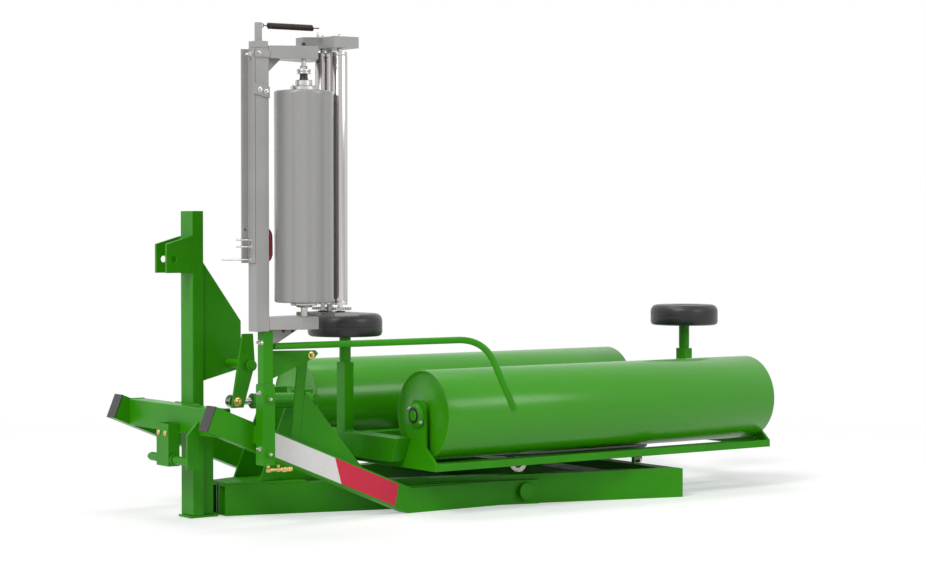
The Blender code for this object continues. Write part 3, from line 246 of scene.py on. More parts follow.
def finish(name, colour, rough, metallic=0.0, coat=0.0, contrast=0.12, mottle=7.0, stretch=(1, 1, 1),
           grain=300.0, bump=0.05, grain_stretch=(1, 1, 1), dust=0.0, wear=None, gloss=0.5):
    """A Principled finish with tonal variation, uneven gloss, grain, dust low down and worn spots."""
    material = bpy.data.materials.new(name)
    material.use_nodes = True
    tree = material.node_tree
    shader = tree.nodes["Principled BSDF"]
    shader.inputs["Metallic"].default_value = metallic
    shader.inputs["Coat Weight"].default_value = coat
    shader.inputs["Coat Roughness"].default_value = 0.12
    shader.inputs["Specular IOR Level"].default_value = gloss
    cloud = noise(tree, mottle, 4.0, stretch)
    tone = blend_colour(tree, spread(tree, cloud, 0, 1), times(colour, 1 - contrast), times(colour, 1 + contrast))
    if dust:
        height = tree.nodes.new("ShaderNodeSeparateXYZ")
        place = tree.nodes.new("ShaderNodeNewGeometry")
        tree.links.new(place.outputs["Normal"], height.inputs[0])
        settled = spread(tree, height.outputs["Z"], 0, dust, 0.2, 1.0)
        patch = tree.nodes.new("ShaderNodeMath")
        patch.operation = "MULTIPLY"
        tree.links.new(settled, patch.inputs[0])
        tree.links.new(spread(tree, noise(tree, 23.0, 6.0), 0.25, 1), patch.inputs[1])
        tone = blend_colour(tree, patch.outputs[0], tone, (0.40, 0.38, 0.33))
    if wear:
        chips = spread(tree, noise(tree, 75.0, 8.0), 0, 0.85, 0.70, 0.74)
        tone = blend_colour(tree, chips, tone, wear)
    tree.links.new(tone, shader.inputs["Base Color"])
    smear = spread(tree, noise(tree, mottle * 3.1, 5.0, stretch), rough * 0.82, rough * 1.22)
    tree.links.new(smear, shader.inputs["Roughness"])
    relief = tree.nodes.new("ShaderNodeBump")
    relief.inputs["Strength"].default_value = bump
    relief.inputs["Distance"].default_value = 0.001
    tree.links.new(noise(tree, grain, 2.0, grain_stretch), relief.inputs["Height"])
    tree.links.new(relief.outputs[0], shader.inputs["Normal"])
    return material


GREEN = (0.034, 0.300, 0.001)
LOOK = {
    "green": finish("green_paint", GREEN, 0.34, coat=0.04, contrast=0.10, mottle=5, grain=190, bump=0.12,
                    dust=0.015, wear=(0.05, 0.12, 0.02), gloss=0.18),
    "gloss": finish("green_gloss", (0.044, 0.330, 0.002), 0.26, coat=0.10, contrast=0.05, mottle=3.0,
                    stretch=(1, 0.3, 1), grain=70, bump=0.05, dust=0.01, gloss=0.35),
    "weld": finish("green_weld", times(GREEN, 0.85), 0.38, coat=0.1, contrast=0.18, mottle=60, grain=420,
                   bump=0.5, dust=0.02, gloss=0.35),
    "grey": finish("grey_paint", (0.395, 0.390, 0.378), 0.40, coat=0.15, contrast=0.06, grain=240, bump=0.10,
                   dust=0.06),
    "dark": finish("dark_steel", (0.022, 0.021, 0.021), 0.46, metallic=0.35, contrast=0.3, mottle=15, bump=0.25,
                   dust=0.05),
    "zinc": finish("zinc_plate", (0.56, 0.55, 0.52), 0.30, metallic=1.0, contrast=0.16, mottle=40, bump=0.12),
    "brass": finish("yellow_zinc", (0.60, 0.44, 0.17), 0.30, metallic=1.0, contrast=0.25, mottle=55, bump=0.12),
    "chrome": finish("turned_chrome", (0.52, 0.49, 0.485), 0.17, metallic=1.0, contrast=0.42, mottle=52,
                     stretch=(1, 1, 0.01), grain=60, bump=0.03, grain_stretch=(1, 1, 40)),
    "axle": finish("bright_axle", (0.60, 0.59, 0.57), 0.26, metallic=1.0, contrast=0.14, mottle=30, grain=90,
                   bump=0.08, grain_stretch=(12, 12, 1)),
    "rubber": finish("black_rubber", (0.013, 0.013, 0.014), 0.36, contrast=0.25, mottle=20, grain=500, bump=0.14,
                     dust=0.03),
    "plug": finish("black_plug", (0.020, 0.016, 0.016), 0.30, contrast=0.2, mottle=25, bump=0.12, dust=0.03),
    "film": finish("stretch_film", (0.350, 0.345, 0.338), 0.26, coat=0.35, contrast=0.22, mottle=24,
                   stretch=(1, 1, 0.0), grain=46, bump=0.12, grain_stretch=(0.2, 0.2, 22)),
    "film_end": finish("film_edge", (0.34, 0.34, 0.34), 0.45, contrast=0.15, mottle=60, grain=900, bump=0.2),
    "card": finish("card_core", (0.30, 0.19, 0.10), 0.80, contrast=0.2, mottle=50, bump=0.3),
    "red": finish("red_plastic", (0.42, 0.008, 0.025), 0.34, coat=0.2, contrast=0.1, mottle=30, bump=0.08),
    "white_band": finish("white_vinyl", (0.84, 0.82, 0.82), 0.30, coat=0.4, contrast=0.02, mottle=9, grain=120,
                         bump=0.03),
    "red_band": finish("red_vinyl", (0.70, 0.002, 0.045), 0.34, coat=0.05, contrast=0.04, mottle=9, grain=120,
                       bump=0.03),
    "wheel": finish("rolled_steel", (0.50, 0.44, 0.41), 0.30, metallic=1.0, contrast=0.18, mottle=30, bump=0.1),
    "spring": finish("spring_steel", (0.050, 0.034, 0.028), 0.34, metallic=0.6, contrast=0.3, mottle=80, bump=0.2),
    "hose": finish("hose_rubber", (0.016, 0.016, 0.017), 0.5, contrast=0.2, mottle=40, grain=600, bump=0.3),
}


# ---------------------------------------------------------------- mesh helpers
def piece(name, work, look, body, *stands_for, bevel=0.0, sharp=35.0, clean=True):
    """Turn a bmesh into a named piece that rides on a body, with its material and rounded edges."""
    if clean:
        bmesh.ops.remove_doubles(work, verts=work.verts, dist=1e-6)
    bmesh.ops.recalc_face_normals(work, faces=work.faces)
    mesh = bpy.data.meshes.new(name)
    if bevel:
        edges = [e for e in work.edges if e.is_manifold and e.calc_face_angle(0) > math.radians(28)]
        bmesh.ops.bevel(work, geom=edges, offset=bevel, segments=2, profile=0.5, affect="EDGES",
                        clamp_overlap=True)
    work.to_mesh(mesh)
    work.free()
    mesh.shade_smooth()
    mesh.set_sharp_from_angle(angle=math.radians(sharp))
    mesh.materials.append(LOOK[look])
    made = bpy.data.objects.new(name, mesh)
    bpy.context.scene.collection.objects.link(made)
    if bevel:
        even = made.modifiers.new("even_normals", "WEIGHTED_NORMAL")
        even.weight = 100
        even.keep_sharp = True
    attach(made, body)
    if stands_for:
        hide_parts(*stands_for)
    return made


def dressed(node, look, body, bevel):
    """A CAD node's own shape with its edges rounded, in place of the plain node."""
    work = bmesh.new()
    work.from_mesh(frame["nodes"][node].data)
    bmesh.ops.remove_doubles(work, verts=work.verts, dist=1e-5)
    bmesh.ops.dissolve_limit(work, angle_limit=math.radians(1), verts=work.verts, edges=work.edges)
    return piece(f"{node}_shell", work, look, body, node, bevel=bevel)


def rounded(profile, radius, steps=3):
    """An open outline with its inner corners turned into small curves."""
    points = [Vector(p) for p in profile]
    result = [tuple(points[0])]
    for before, corner, after in zip(points, points[1:], points[2:]):
        reach_in = min(radius, (before - corner).length * 0.45)
        reach_out = min(radius, (after - corner).length * 0.45)
        start = corner + (before - corner).normalized() * reach_in
        end = corner + (after - corner).normalized() * reach_out
        for k in range(steps + 1):
            t = k / steps
            result.append(tuple(start * (1 - t) ** 2 + corner * 2 * t * (1 - t) + end * t ** 2))
    result.append(tuple(points[-1]))
    return result


def turned(work, profile, centre, axis, sides=48, phase=0.0):
    """Turn (radius, distance) points about an axis through centre; a ring closes on itself."""
    turn = Z.rotation_difference(Vector(axis)).to_matrix().to_4x4()
    place = Matrix.Translation(Vector(centre)) @ turn
    rows = []
    for radius, distance in profile:
        count = 1 if radius < 1e-7 else sides
        row = []
        for k in range(count):
            angle = phase + 2 * math.pi * k / sides
            point = Vector((radius * math.cos(angle), radius * math.sin(angle), distance))
            row.append(work.verts.new(place @ point))
        rows.append(row)
    pairs = list(zip(rows, rows[1:]))
    if len(rows[0]) > 1 and len(rows[-1]) > 1:
        pairs.append((rows[-1], rows[0]))
    for here, there in pairs:
        for k in range(sides):
            n = (k + 1) % sides
            corners = [here[k % len(here)], here[n % len(here)], there[n % len(there)], there[k % len(there)]]
            unique = list(dict.fromkeys(corners))
            if len(unique) > 2:
                work.faces.new(unique)


def block(work, low, high):
    """A box between two corners."""
    size = [high[i] - low[i] for i in range(3)]
    middle = [(high[i] + low[i]) / 2 for i in range(3)]
    made = bmesh.ops.create_cube(work, size=1.0)["verts"]
    bmesh.ops.scale(work, vec=size, verts=made)
    bmesh.ops.translate(work, vec=middle, verts=made)


def plate(work, outline, axis, low, high):
    """An outline of (a, b) points pushed along axis, where (a, b) are the other two axes in x, y, z order."""
    def ring(along):
        made = []
        for pair in outline:
            values = list(pair)
            values.insert("xyz".index(axis), along)
            made.append(work.verts.new(values))
        return made

    first, second = ring(low), ring(high)
    work.faces.new(first)
    work.faces.new(list(reversed(second)))
    for i in range(len(outline)):
        j = (i + 1) % len(outline)
        work.faces.new((first[i], second[i], second[j], first[j]))


def swept(work, points, radius, sides=10, radii=None):
    """A closed round bar along points."""
    points = [Vector(p) for p in points]
    side = None
    rows = []
    for i, point in enumerate(points):
        ahead = points[min(i + 1, len(points) - 1)] - points[max(i - 1, 0)]
        ahead.normalize()
        if side is None:
            side = ahead.cross(Z if abs(ahead.z) < 0.9 else X).normalized()
        else:
            side = (side - ahead * side.dot(ahead)).normalized()
        up = ahead.cross(side)
        size = radii[i] if radii else radius
        row = []
        for k in range(sides):
            angle = 2 * math.pi * k / sides
            row.append(work.verts.new(point + (side * math.cos(angle) + up * math.sin(angle)) * size))
        rows.append(row)
    for here, there in zip(rows, rows[1:]):
        for k in range(sides):
            n = (k + 1) % sides
            work.faces.new((here[k], here[n], there[n], there[k]))
    work.faces.new(list(reversed(rows[0])))
    work.faces.new(rows[-1])


def hexagon(work, centre, axis, radius, start, end, turn=0.0):
    """A hexagonal head with its corners turned down at the outer end."""
    edge = (end - start) * 0.25
    profile = [(0, start), (radius, start), (radius, end - edge), (radius * 0.86, end), (0, end)]
    turned(work, profile, centre, axis, 6, turn)


def bolt(work, centre, axis, radius, washer=True, stud=0.0):
    """A hexagon head on a washer, seated at centre, with the stud's end if it carries a nut."""
    base = 0.0
    if washer:
        base = radius * 0.28
        turned(work, rounded([(0, 0), (radius * 1.55, 0), (radius * 1.55, base), (0, base)], base * 0.4, 2),
               centre, axis, 24)
    top = base + radius * 1.05
    hexagon(work, centre, axis, radius, base, top, random.random())
    if stud:
        turned(work, rounded([(0, top), (radius * 0.52, top), (radius * 0.52, top + stud), (0, top + stud)],
                             radius * 0.2, 2), centre, axis, 16)


def bead(work, start, end, radius, seed=0):
    """A weld bead between two points, uneven in width as its ripples are."""
    start, end = Vector(start), Vector(end)
    ripple = random.Random(seed)
    steps = max(4, int((end - start).length / (radius * 1.1)))
    points = []
    radii = []
    for k in range(steps + 1):
        points.append(start.lerp(end, k / steps))
        taper = 0.55 if k in (0, steps) else 1.0
        radii.append(radius * taper * (1.0 + 0.22 * (k % 2) + ripple.uniform(-0.10, 0.10)))
    swept(work, points, radius, 7, radii)


def gear(work, centre, low, high, root, tip, teeth, bore):
    """A spur gear or sprocket about a vertical axis."""
    centre = Vector(centre)
    outline = []
    pitch = 2 * math.pi / teeth
    for k in range(teeth):
        for share, radius in ((-0.27, root), (-0.13, tip), (0.13, tip), (0.27, root)):
            angle = (k + share) * pitch
            outline.append((radius * math.cos(angle), radius * math.sin(angle)))
    count = len(outline)
    inner = [(bore * math.cos(2 * math.pi * k / count), bore * math.sin(2 * math.pi * k / count))
             for k in range(count)]
    rings = []
    for ring, z in ((inner, low), (outline, low), (outline, high), (inner, high)):
        rings.append([work.verts.new((centre.x + x, centre.y + y, z)) for x, y in ring])
    for here, there in zip(rings, rings[1:] + rings[:1]):
        for k in range(count):
            n = (k + 1) % count
            work.faces.new((here[k], here[n], there[n], there[k]))


# ---------------------------------------------------------------- places taken from the frame
def low(node):
    """Lowest corner of a CAD node."""
    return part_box(node)[0]


def high(node):
    """Highest corner of a CAD node."""
    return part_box(node)[1]


def middle(node):
    """Centre of a CAD node's box."""
    return (low(node) + high(node)) / 2


def half(node):
    """Half the size of a CAD node's box."""
    return (high(node) - low(node)) / 2


def body_of(node):
    """The body that a CAD node rides on."""
    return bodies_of(frame["nodes"][node])[0]


TABLE_AXIS = middle("turntable_disc")
FILM_AXIS = middle("film_roll")
COLUMN_FLANGE = 0.030
TUBE_X = (low("crossbar").x * -1 + 0.0003, 0.3813)     # near tube's inner and outer face
TUBE_SLOPE = math.radians(22.3)
TUBE_BEND_Y = 0.726
TUBE_HALF = 0.0463
TILT_PIN = (high("side_tube_near").x, 1.240, 0.050)
SEED = 7
random.seed(SEED)

# ---------------------------------------------------------------- the frame's own shapes with rounded edges
# node, finish, edge radius
DRESSED = (
    ("mast", "green", 0.0030), ("mast_foot", "green", 0.0012), ("mast_rear_post", "green", 0.0030),
    ("mast_gusset_near", "green", 0.0012), ("mast_gusset_far", "green", 0.0012),
    ("top_link_ears", "green", 0.0012), ("crossbar", "green", 0.0040), ("link_hanger", "green", 0.0012),
    ("link_brace", "green", 0.0012), ("side_tube_near", "green", 0.0035), ("side_tube_far", "green", 0.0035),
    ("cylinder_strut", "green", 0.0012), ("post_bracket", "green", 0.0012), ("post_sleeve", "green", 0.0016),
    ("post_inner", "green", 0.0024), ("dispenser_column", "grey", 0.0016), ("bottom_arm", "grey", 0.0016),
    ("top_arm", "grey", 0.0016), ("floor_beam_near", "green", 0.0030), ("floor_beam_far", "green", 0.0030),
    ("rear_cross_member", "green", 0.0030), ("hub_cross_member", "green", 0.0020),
    ("nose_plate", "green", 0.0012), ("tilt_lever", "green", 0.0012), ("turntable_hub", "dark", 0.0015),
    # The turntable disc is a real ring, but its near-black dark finish is painted shade for the shadow in the gap
    # under the table.
    ("turntable_disc", "dark", 0.0010), ("table_rail_near", "green", 0.0020), ("table_rail_far", "green", 0.0020),
    ("table_beam_near", "green", 0.0030), ("table_beam_far", "green", 0.0030),
    ("end_plate_front", "green", 0.0012), ("end_plate_rear", "green", 0.0012),
    ("end_member_front", "green", 0.0025), ("end_member_rear", "green", 0.0025),
    ("guide_post_front", "green", 0.0020), ("guide_post_rear", "green", 0.0020),
    ("cylinder_barrel", "green", 0.0010), ("cylinder_rod", "axle", 0.0008),
    ("carriage_frame", "grey", 0.0016),
)


def build_dressed():
    """Every plain CAD piece whose shape is right, with its edges rounded and its paint on."""
    for node, look, edge in DRESSED:
        dressed(node, look, body_of(node), edge)


# ---------------------------------------------------------------- turntable
ROLLER_SHELL = 0.006
ROLLER_RECESS = 0.006
ROLLER_STUB = 0.020


def build_main_rollers():
    """Drums with a rolled edge, a welded end disc set in from it and a hub boss."""
    for tag in ("near", "far"):
        node = f"main_roller_{tag}"
        centre = middle(node)
        radius = half(node).x
        stub = half(node).y
        end = stub - 0.046
        disc = end - ROLLER_RECESS
        inner = radius - ROLLER_SHELL
        boss = disc + 0.004
        side = [(0, stub), (ROLLER_STUB - 0.002, stub), (ROLLER_STUB, stub - 0.002), (ROLLER_STUB, boss),
                (0.040, boss), (0.046, disc), (inner - 0.012, disc), (inner - 0.006, disc + 0.0008),
                (inner, disc + 0.0035), (inner, end - 0.001), (inner + 0.0015, end), (radius - 0.003, end),
                (radius - 0.0008, end - 0.0009), (radius, end - 0.003)]
        profile = side + [(r, -y) for r, y in reversed(side)]
        work = bmesh.new()
        turned(work, profile, centre, Y, 144)
        piece(f"roller_drum_{tag}", work, "gloss", f"roller_{tag}", node, sharp=40)


def build_roller_bearings():
    """Flanged bearing with two bolts over each roller's shaft, on the outer faces of the end plates."""
    for end, sign in (("front", -1), ("rear", 1)):
        face = low("end_plate_front").y if sign < 0 else high("end_plate_rear").y
        for side, x in (("near", middle("main_roller_near").x), ("far", middle("main_roller_far").x)):
            centre = Vector((x, face + sign * 0.0003, middle("main_roller_near").z))
            work = bmesh.new()
            ring = [(0.0215, 0), (0.046, 0), (0.046, 0.006), (0.041, 0.0075), (0.037, 0.016), (0.034, 0.0185),
                    (0.0215, 0.0185)]
            turned(work, rounded(ring, 0.0015, 2), centre, Y * sign, 56)
            piece(f"bearing_{end}_{side}", work, "green", "turntable")
            # Dark ring around the shaft in the bearing's bore: painted shade standing for the shaded hub hole.
            work = bmesh.new()
            turned(work, [(0.0205, 0.012), (0.0300, 0.012), (0.0300, 0.0195), (0.0270, 0.0203), (0.0205, 0.0203)],
                   centre, Y * sign, 48)
            piece(f"bearing_hole_shade_{end}_{side}", work, "dark", "turntable")
            work = bmesh.new()
            for turn in (-1, 1):
                place = centre + Vector((turn * 0.036, sign * 0.0078, turn * -0.022))
                bolt(work, place, Y * sign, 0.0062, stud=0.003)
            piece(f"bearing_bolts_{end}_{side}", work, "zinc", "turntable")


def build_guide_wheels():
    """Black moulded wheels with a domed shoulder, a shallow dish on top and a mould line."""
    for tag in ("front", "rear"):
        node = f"guide_wheel_{tag}"
        centre = Vector((middle(node).x, middle(node).y, 0))
        base, top, radius = low(node).z, high(node).z, half(node).x
        crown = [(radius, top - 0.034)]
        for k in range(1, 9):
            angle = math.radians(11.25 * k)
            crown.append((radius - 0.026 + 0.026 * math.cos(angle), top - 0.030 + 0.030 * math.sin(angle)))
        profile = [(0, base + 0.044), (0.014, base + 0.044), (0.014, base + 0.004), (0.030, base), (0.060, base),
                   (0.064, base + 0.006), (0.112, base + 0.006), (0.117, base), (radius - 0.012, base),
                   (radius - 0.004, base + 0.004), (radius, base + 0.014), (radius, top - 0.052),
                   (radius - 0.0008, top - 0.051), (radius - 0.0008, top - 0.049), (radius, top - 0.048)]
        profile += crown
        profile += [(0.070, top - 0.0005), (0.062, top - 0.003), (0.030, top - 0.004), (0, top - 0.004)]
        work = bmesh.new()
        turned(work, profile, centre, Z, 96)
        piece(f"guide_wheel_tyre_{tag}", work, "rubber", f"guide_{tag}", node, sharp=38)


def build_support_wheels():
    """Grooved steel wheels under the table, each with a dark hub."""
    for tag in ("front_near", "rear_near", "rear_far", "front_far"):
        node = f"support_wheel_{tag}"
        centre = middle(node)
        outward = Vector((centre.x, centre.y - TABLE_AXIS.y, 0)).normalized()
        radius = half(node).z
        side = [(0.0075, 0.0118), (0.0150, 0.0118), (0.0165, 0.0095), (radius - 0.006, 0.0095),
                (radius - 0.005, 0.0112), (radius - 0.001, 0.0112), (radius, 0.0100)]
        grooves = []
        for place in (0.0065, 0.0, -0.0065):
            grooves += [(radius, place + 0.0012), (radius - 0.0013, place + 0.0005),
                        (radius - 0.0013, place - 0.0005), (radius, place - 0.0012)]
        profile = side + grooves + [(r, -y) for r, y in reversed(side)]
        work = bmesh.new()
        turned(work, profile, centre, outward, 64)
        piece(f"support_rim_{tag}", work, "wheel", f"wheel_{tag}", node)
        work = bmesh.new()
        turned(work, [(0.0068, -0.0115), (0.0076, -0.0119), (0.0140, -0.0119), (0.0140, -0.0127),
                      (0.0068, -0.0127)], centre, -outward, 40)
        piece(f"support_seal_{tag}", work, "dark", f"wheel_{tag}")


def build_table_details():
    """Bolts on the table beams, a lock block under the front member and weld runs."""
    work = bmesh.new()
    for x in (middle("table_beam_near").x, middle("table_beam_far").x):
        for y in (low("table_beam_near").y + 0.06, high("table_beam_near").y - 0.11):
            bolt(work, (x, y, high("table_beam_near").z), Z, 0.0085, stud=0.004)
    piece("table_beam_bolts", work, "zinc", "turntable")
    front = low("end_member_front")
    work = bmesh.new()
    block(work, (-0.028, front.y + 0.008, front.z - 0.0245), (0.028, front.y + 0.048, front.z - 0.0005))
    piece("table_lock_block", work, "dark", "turntable", bevel=0.003)
    for tag, sign in (("front", 1), ("rear", -1)):
        node = f"end_member_{tag}"
        inner = high(node).y if sign > 0 else low(node).y
        beam = f"guide_post_{tag}"
        top = high(node).z
        work = bmesh.new()
        edge = 0.0035
        corners = [(low(beam).x, low(beam).y), (high(beam).x, low(beam).y), (high(beam).x, high(beam).y),
                   (low(beam).x, high(beam).y)]
        for k in range(4):
            here, there = corners[k], corners[(k + 1) % 4]
            bead(work, (*here, top + 0.001), (*there, top + 0.001), edge, k)
        piece(f"guide_post_weld_{tag}", work, "weld", "turntable")
        work = bmesh.new()
        for sign_x in (-1, 1):
            bead(work, (sign_x * 0.05, inner + sign * 0.001, top - 0.001),
                 (sign_x * 0.34, inner + sign * 0.001, top - 0.001), 0.0032, 3)
        piece(f"end_member_weld_{tag}", work, "weld", "turntable")


# ---------------------------------------------------------------- film dispenser
def build_film_roll():
    """Wound film with uneven edges, on a card core that shows at both ends."""
    base, top = low("film_roll").z, high("film_roll").z
    radius = half("film_roll").x
    place = Vector((FILM_AXIS.x, FILM_AXIS.y, 0))
    core, card = 0.0380, 0.0435
    ripple = random.Random(3)
    wound = []
    layers = 26
    for k in range(layers + 1):
        share = k / layers
        wound.append((card + (radius - 0.003 - card) * share, ripple.uniform(0.0, 0.0016)))
    edge = [(radius - 0.0012, 0.0028), (radius - 0.0002, 0.0060), (radius, 0.012)]
    lower = [(r, base + 0.002 + z) for r, z in wound] + [(r, base + 0.002 + z) for r, z in edge]
    upper = [(r, top - 0.002 - z) for r, z in wound] + [(r, top - 0.002 - z) for r, z in edge]
    steps = 40
    side = []
    for k in range(1, steps):
        z = base + 0.016 + (top - base - 0.032) * k / steps
        side.append((radius - ripple.uniform(0.0, 0.00035), z))
    work = bmesh.new()
    turned(work, lower + side + list(reversed(upper)), place, Z, 112)
    piece("film_roll_wound", work, "film", "film", "film_roll", sharp=50)
    for tag, start, end in (("bottom", base, base + 0.040), ("top", top - 0.040, top)):
        work = bmesh.new()
        turned(work, rounded([(core, start), (card - 0.0002, start), (card - 0.0002, end), (core, end)], 0.0005, 2),
               place, Z, 64)
        piece(f"film_core_{tag}", work, "card", "film")


def build_cones():
    """Cones in the roll's core, with the flange, bearing, neck, discs and nut above the top one."""
    base, top = low("film_roll").z, high("film_roll").z
    place = Vector((FILM_AXIS.x, FILM_AXIS.y, 0))
    flange = half("film_cone_top").x
    inner = 0.0372
    cone = [(0, top - 0.050), (inner * 0.78, top - 0.050), (inner, top - 0.004), (inner, top + 0.0004),
            (flange - 0.001, top + 0.0004), (flange, top + 0.0015), (flange, top + 0.0125),
            (flange - 0.002, top + 0.014), (0.032, top + 0.014), (0.030, top + 0.016), (0.030, top + 0.034),
            (0.028, top + 0.036), (0, top + 0.036)]
    work = bmesh.new()
    turned(work, cone, place, Z, 64)
    piece("top_cone", work, "zinc", "film", "film_cone_top", sharp=38)
    work = bmesh.new()
    turned(work, rounded([(0, top + 0.036), (0.0165, top + 0.036), (0.0140, top + 0.044), (0.0140, top + 0.058),
                          (0, top + 0.058)], 0.001, 2), place, Z, 40)
    piece("top_cone_neck", work, "rubber", "film")
    work = bmesh.new()
    for start, end, size in ((0.058, 0.0625, 0.0255), (0.0630, 0.0665, 0.0225), (0.0670, 0.0740, 0.0255)):
        turned(work, rounded([(0, top + start), (size, top + start), (size, top + end), (0, top + end)], 0.001, 2),
               place, Z, 48)
    hexagon(work, place, Z, 0.0135, top + 0.0742, top + 0.0865)
    turned(work, [(0, top + 0.086), (0.0085, top + 0.086), (0.0085, high("film_cone_top").z), (0, high("film_cone_top").z)],
           place, Z, 24)
    piece("top_cone_stack", work, "zinc", "film")
    work = bmesh.new()
    for k in range(6):
        angle = math.radians(60 * k + 15)
        spot = place + Vector((math.cos(angle), math.sin(angle), 0)) * 0.0395 + Vector((0, 0, top + 0.0138))
        turned(work, [(0, 0), (0.0030, 0), (0.0030, 0.0040), (0.0022, 0.0050), (0, 0.0050)], spot, Z, 14)
    piece("top_cone_pins", work, "zinc", "film")
    bottom = low("film_cone_bottom").z
    cone = [(0, bottom), (0.012, bottom), (0.012, base - 0.017), (0.026, base - 0.015), (0.030, base - 0.010),
            (flange - 0.002, base - 0.009), (flange, base - 0.0075), (flange, base - 0.0015),
            (flange - 0.001, base - 0.0004), (inner, base - 0.0004), (inner, base + 0.004),
            (inner * 0.78, base + 0.050), (0, base + 0.050)]
    work = bmesh.new()
    turned(work, cone, place, Z, 64)
    piece("bottom_cone", work, "zinc", "film", "film_cone_bottom", sharp=38)


def build_stretch_rollers():
    """Bright rollers with zinc end caps, bare shafts and a gear at the foot."""
    for tag in ("front", "rear"):
        node = f"stretch_roller_{tag}"
        place = Vector((middle(node).x, middle(node).y, 0))
        base, top = low(node).z, high(node).z
        shell = (base + 0.026, top - 0.012)
        radius = 0.0275
        work = bmesh.new()
        cap = 0.014
        turned(work, rounded([(0.0085, shell[0] + cap), (radius, shell[0] + cap), (radius, shell[1] - cap),
                              (0.0085, shell[1] - cap)], 0.0006, 2), place, Z, 72)
        piece(f"stretch_shell_{tag}", work, "chrome", f"stretch_{tag}", node)
        work = bmesh.new()
        for start, end in ((shell[0], shell[0] + cap - 0.0003), (shell[1] - cap + 0.0003, shell[1])):
            turned(work, rounded([(0.0092, start), (radius - 0.0008, start), (radius - 0.0008, end), (0.0092, end)],
                                 0.0015, 2), place, Z, 56)
        piece(f"stretch_caps_{tag}", work, "zinc", f"stretch_{tag}")
        work = bmesh.new()
        turned(work, [(0, base), (0.009, base), (0.009, top), (0, top)], place, Z, 28)
        piece(f"stretch_shaft_{tag}", work, "axle", f"stretch_{tag}")
        work = bmesh.new()
        gear(work, place, base + 0.007, base + 0.017, 0.0365, 0.0408, 30, 0.0093)
        piece(f"stretch_gear_{tag}", work, "zinc", f"stretch_{tag}")


def build_spring():
    """Tension spring between the column's anchor and the carriage, with a hook at each end."""
    box_low, box_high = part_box("carriage_spring")
    centre_z = (box_low.z + box_high.z) / 2
    start = Vector((middle("dispenser_column").x, box_low.y + 0.004, centre_z))
    end = Vector((box_high.x - 0.012, box_high.y - 0.004, centre_z))
    along = (end - start).normalized()
    side = along.cross(Z).normalized()
    coil, wire = 0.0096, 0.0019
    body_start, body_end = 0.024, (end - start).length - 0.024
    turns = 46
    steps = turns * 12
    points = [start + along * 0.004, start + along * 0.012, start + along * 0.019]
    for k in range(steps + 1):
        angle = 2 * math.pi * k / 12
        reach = body_start + (body_end - body_start) * k / steps
        ring = side * math.cos(angle) + Z * math.sin(angle)
        points.append(start + along * reach + ring * coil)
    points += [end - along * 0.019, end - along * 0.012, end - along * 0.004]
    work = bmesh.new()
    swept(work, points, wire, 7)
    for spot, turn in ((start + along * 0.002, 0.0), (end - along * 0.004, math.pi / 2)):
        loop = []
        for k in range(17):
            angle = 2 * math.pi * k / 16 * 0.88
            loop.append(spot + along * (0.0056 * math.cos(angle)) + (Z * math.cos(turn) + side * math.sin(turn))
                        * (0.0056 * math.sin(angle)))
        swept(work, loop, wire, 7)
    piece("spring_coil", work, "spring", "hitch_frame", "carriage_spring", sharp=60)


